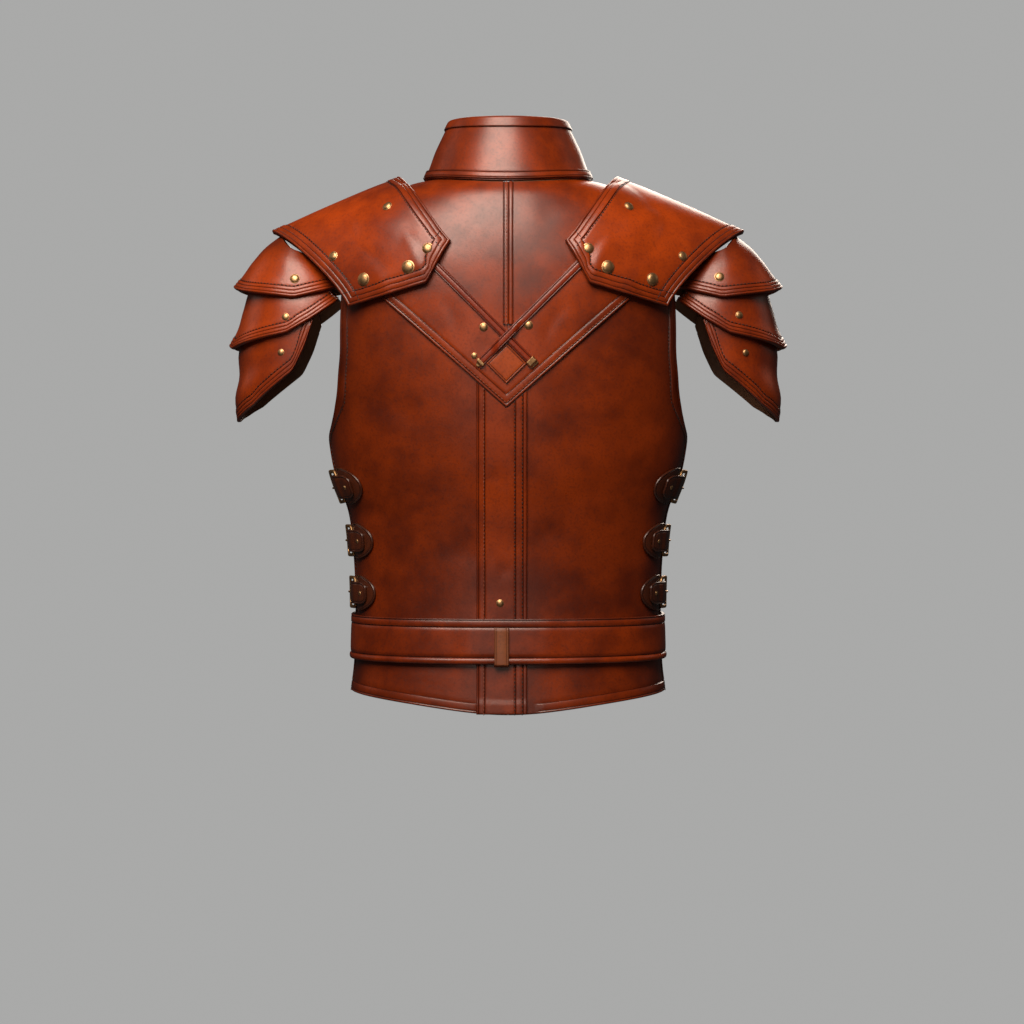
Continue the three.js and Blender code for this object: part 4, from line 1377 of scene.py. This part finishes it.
def socket_tree(name, **inputs):
    """A new node tree with named inputs: the tree, and a wire from each input."""
    tree = bpy.data.node_groups.new(name, "GeometryNodeTree")
    for key, kind in inputs.items():
        tree.interface.new_socket(key, in_out="INPUT", socket_type=f"NodeSocket{kind}")
    tree.interface.new_socket("Geometry", in_out="OUTPUT", socket_type="NodeSocketGeometry")
    wire = Wire(tree)
    return wire, {key: wire.node("NodeGroupInput", output=key) for key in inputs}


def turned(wire, height, radius, rings, sides):
    """A solid turned round Z: its radius is worked out from the share of its height."""
    end = wire.node("ShaderNodeCombineXYZ", None, {"Z": height})
    line = wire.node("GeometryNodeCurvePrimitiveLine", None, {"End": end})
    line = wire.node("GeometryNodeResampleCurve", None, {"Curve": line, "Count": rings})
    circle = wire.node("GeometryNodeCurvePrimitiveCircle", None,
                       {"Resolution": sides, "Radius": 1.0})
    skin = wire.node("GeometryNodeCurveToMesh", None, {
        "Curve": line, "Profile Curve": circle, "Scale": radius, "Fill Caps": True})
    return wire.node("GeometryNodeMergeByDistance", None, {"Geometry": skin, "Distance": 1e-4})


def finished(wire, points, instance, turn, scale, finish):
    placed = wire.node("GeometryNodeInstanceOnPoints", None, {
        "Points": points, "Instance": instance, "Rotation": turn, "Scale": scale})
    real = wire.node("GeometryNodeRealizeInstances", None, {"Geometry": placed})
    real = wire.node("GeometryNodeSetMaterial", None, {"Geometry": real, "Material": finish})
    output = wire.tree.nodes.new("NodeGroupOutput")
    wire.tree.links.new(real.socket, output.inputs[0])
    return wire.tree


def grown(name, points, edges, tree, values, attributes=None):
    """Runs a node tree over points or lines, and keeps the result as a plain mesh."""
    mesh = bpy.data.meshes.new(name)
    mesh.from_pydata(np.asarray(points).tolist(), edges, [])
    for key, (kind, field, rows) in (attributes or {}).items():
        layer = mesh.attributes.new(key, kind, "POINT")
        layer.data.foreach_set(field, np.asarray(rows, np.float32).ravel())
    made = bpy.data.objects.new(name, mesh)
    scene.collection.objects.link(made)
    modifier = made.modifiers.new("grow", "NODES")
    modifier.node_group = tree
    for item in tree.interface.items_tree:
        if item.in_out == "INPUT" and item.name in values:
            modifier[item.identifier] = values[item.name]
    graph = bpy.context.evaluated_depsgraph_get()
    result = bpy.data.meshes.new_from_object(made.evaluated_get(graph), depsgraph=graph)
    made.modifiers.remove(modifier)
    made.data = result
    result.name = name
    result.polygons.foreach_set("use_smooth", [True] * len(result.polygons))
    result.set_sharp_from_angle(angle=math.radians(50))
    return made


def along(wire, vector):
    """The turn that points Z along a vector."""
    return wire.node("FunctionNodeAlignRotationToVector", {"axis": "Z"}, {"Vector": vector})


wire, given = socket_tree("stud_tree", Geometry="Geometry", Height="Float", Flange="Float",
                          Material="Material")
share = wire.node("GeometryNodeSplineParameter", output="Factor")
on_dome = share.ease(*FLANGE_EDGE)
climb = wire.maths("MAXIMUM", (share - DOME_FROM) * (1 / (1 - DOME_FROM)), 0.0)
dome = (1.0 - climb * climb) ** 0.5
radius = (1.0 - on_dome) + on_dome * dome * (1.0 - given["Flange"])
direction, size = (
    wire.node("GeometryNodeInputNamedAttribute", {"data_type": kind}, {"Name": key})
    for kind, key in (("FLOAT_VECTOR", "direction"), ("FLOAT", "size")))
stud_tree = finished(wire, given["Geometry"], turned(wire, given["Height"], radius, 20, 24),
                     along(wire, direction), size, given["Material"])
places, directions, sizes = zip(*stud_rows)
studs = grown(
    "brass_studs", places, [], stud_tree,
    {"Height": STUD_HEIGHT, "Flange": STUD_FLANGE, "Material": brass},
    {"direction": ("FLOAT_VECTOR", "vector", directions), "size": ("FLOAT", "value", sizes)})
settle(studs, "antique_brass", *[f"plate_stud_{row + 1}_{word}"
                                 for row in range(len(PLATE_STUDS)) for side, word in SIDES])


# ---------------------------------------------------------------- stitching
# Saddle stitches of waxed thread along the borders and strips, sunk in their tooled lines: dark
# thread round the panels and plates, and red-brown thread in the strips and the yoke.
STITCH_PITCH = 4.0
STITCH_LENGTH = 3.0
STITCH_WIDTH = 1.0
STITCH_SWAY = 0.10             # radians
STITCH_SEED = 7
THREADS = {"dark": (0.020, 0.008, 0.006, 1), "red": (0.15, 0.035, 0.016, 1)}


def thread_finish(tone):
    def build(wire):
        place = wire.node("ShaderNodeTexCoord", output="Object")
        twist = wire.node("ShaderNodeTexWave", {"bands_direction": "DIAGONAL"},
                          {"Vector": place, "Scale": 900.0, "Distortion": 1.5})
        bright = tuple(2.2 * channel for channel in tone[:3]) + (1,)
        return wire.node("ShaderNodeBsdfPrincipled", None, {
            "Base Color": wire.colour(twist, tone, bright), "Normal": twist.bump(0.5, 0.0001),
            "Roughness": 0.6})
    return build


wire, given = socket_tree("stitch_tree", Geometry="Geometry", Pitch="Float", Length="Float",
                          Width="Float", Seed="Int", Material="Material")
line = wire.node("GeometryNodeMeshToCurve", None, {"Mesh": given["Geometry"]})
line = wire.node("GeometryNodeResampleCurve", {"mode": "LENGTH"},
                 {"Curve": line, "Length": given["Pitch"]})
share = wire.node("GeometryNodeSplineParameter", output="Factor")
swell = (share * (1.0 - share) * 4.0) ** 0.5
stitch = turned(wire, given["Length"], swell * given["Width"] * 0.5, 6, 6)
shift = wire.node("ShaderNodeCombineXYZ", None, {"Z": given["Length"] * -0.5})
stitch = wire.node("GeometryNodeTransform", None, {"Geometry": stitch, "Translation": shift})
sway = wire.node("FunctionNodeRandomValue", {"data_type": "FLOAT_VECTOR"}, {
    0: (-STITCH_SWAY, -STITCH_SWAY, 0.0), 1: (STITCH_SWAY, STITCH_SWAY, 0.0),
    "Seed": given["Seed"]})
sway = wire.node("FunctionNodeEulerToRotation", None, {0: sway})
turn = along(wire, wire.node("GeometryNodeInputTangent"))
turn = wire.node("FunctionNodeRotateRotation", {"rotation_space": "LOCAL"},
                 {"Rotation": turn, "Rotate By": sway})
stitch_tree = finished(wire, line, stitch, turn, (1.0, 1.0, 1.0), given["Material"])

for thread, tone in THREADS.items():
    points, edges = [], []
    for seam in seams[thread]:
        edges += [(len(points) + k, len(points) + k + 1) for k in range(len(seam) - 1)]
        points += seam.tolist()
    sewing = grown(f"stitches_{thread}", points, edges, stitch_tree, {
        "Pitch": STITCH_PITCH * MM, "Length": STITCH_LENGTH * MM, "Width": STITCH_WIDTH * MM,
        "Seed": STITCH_SEED, "Material": material(f"{thread}_thread", thread_finish(tone))})
    settle(sewing, "dark_leather" if thread == "dark" else "welt_leather")
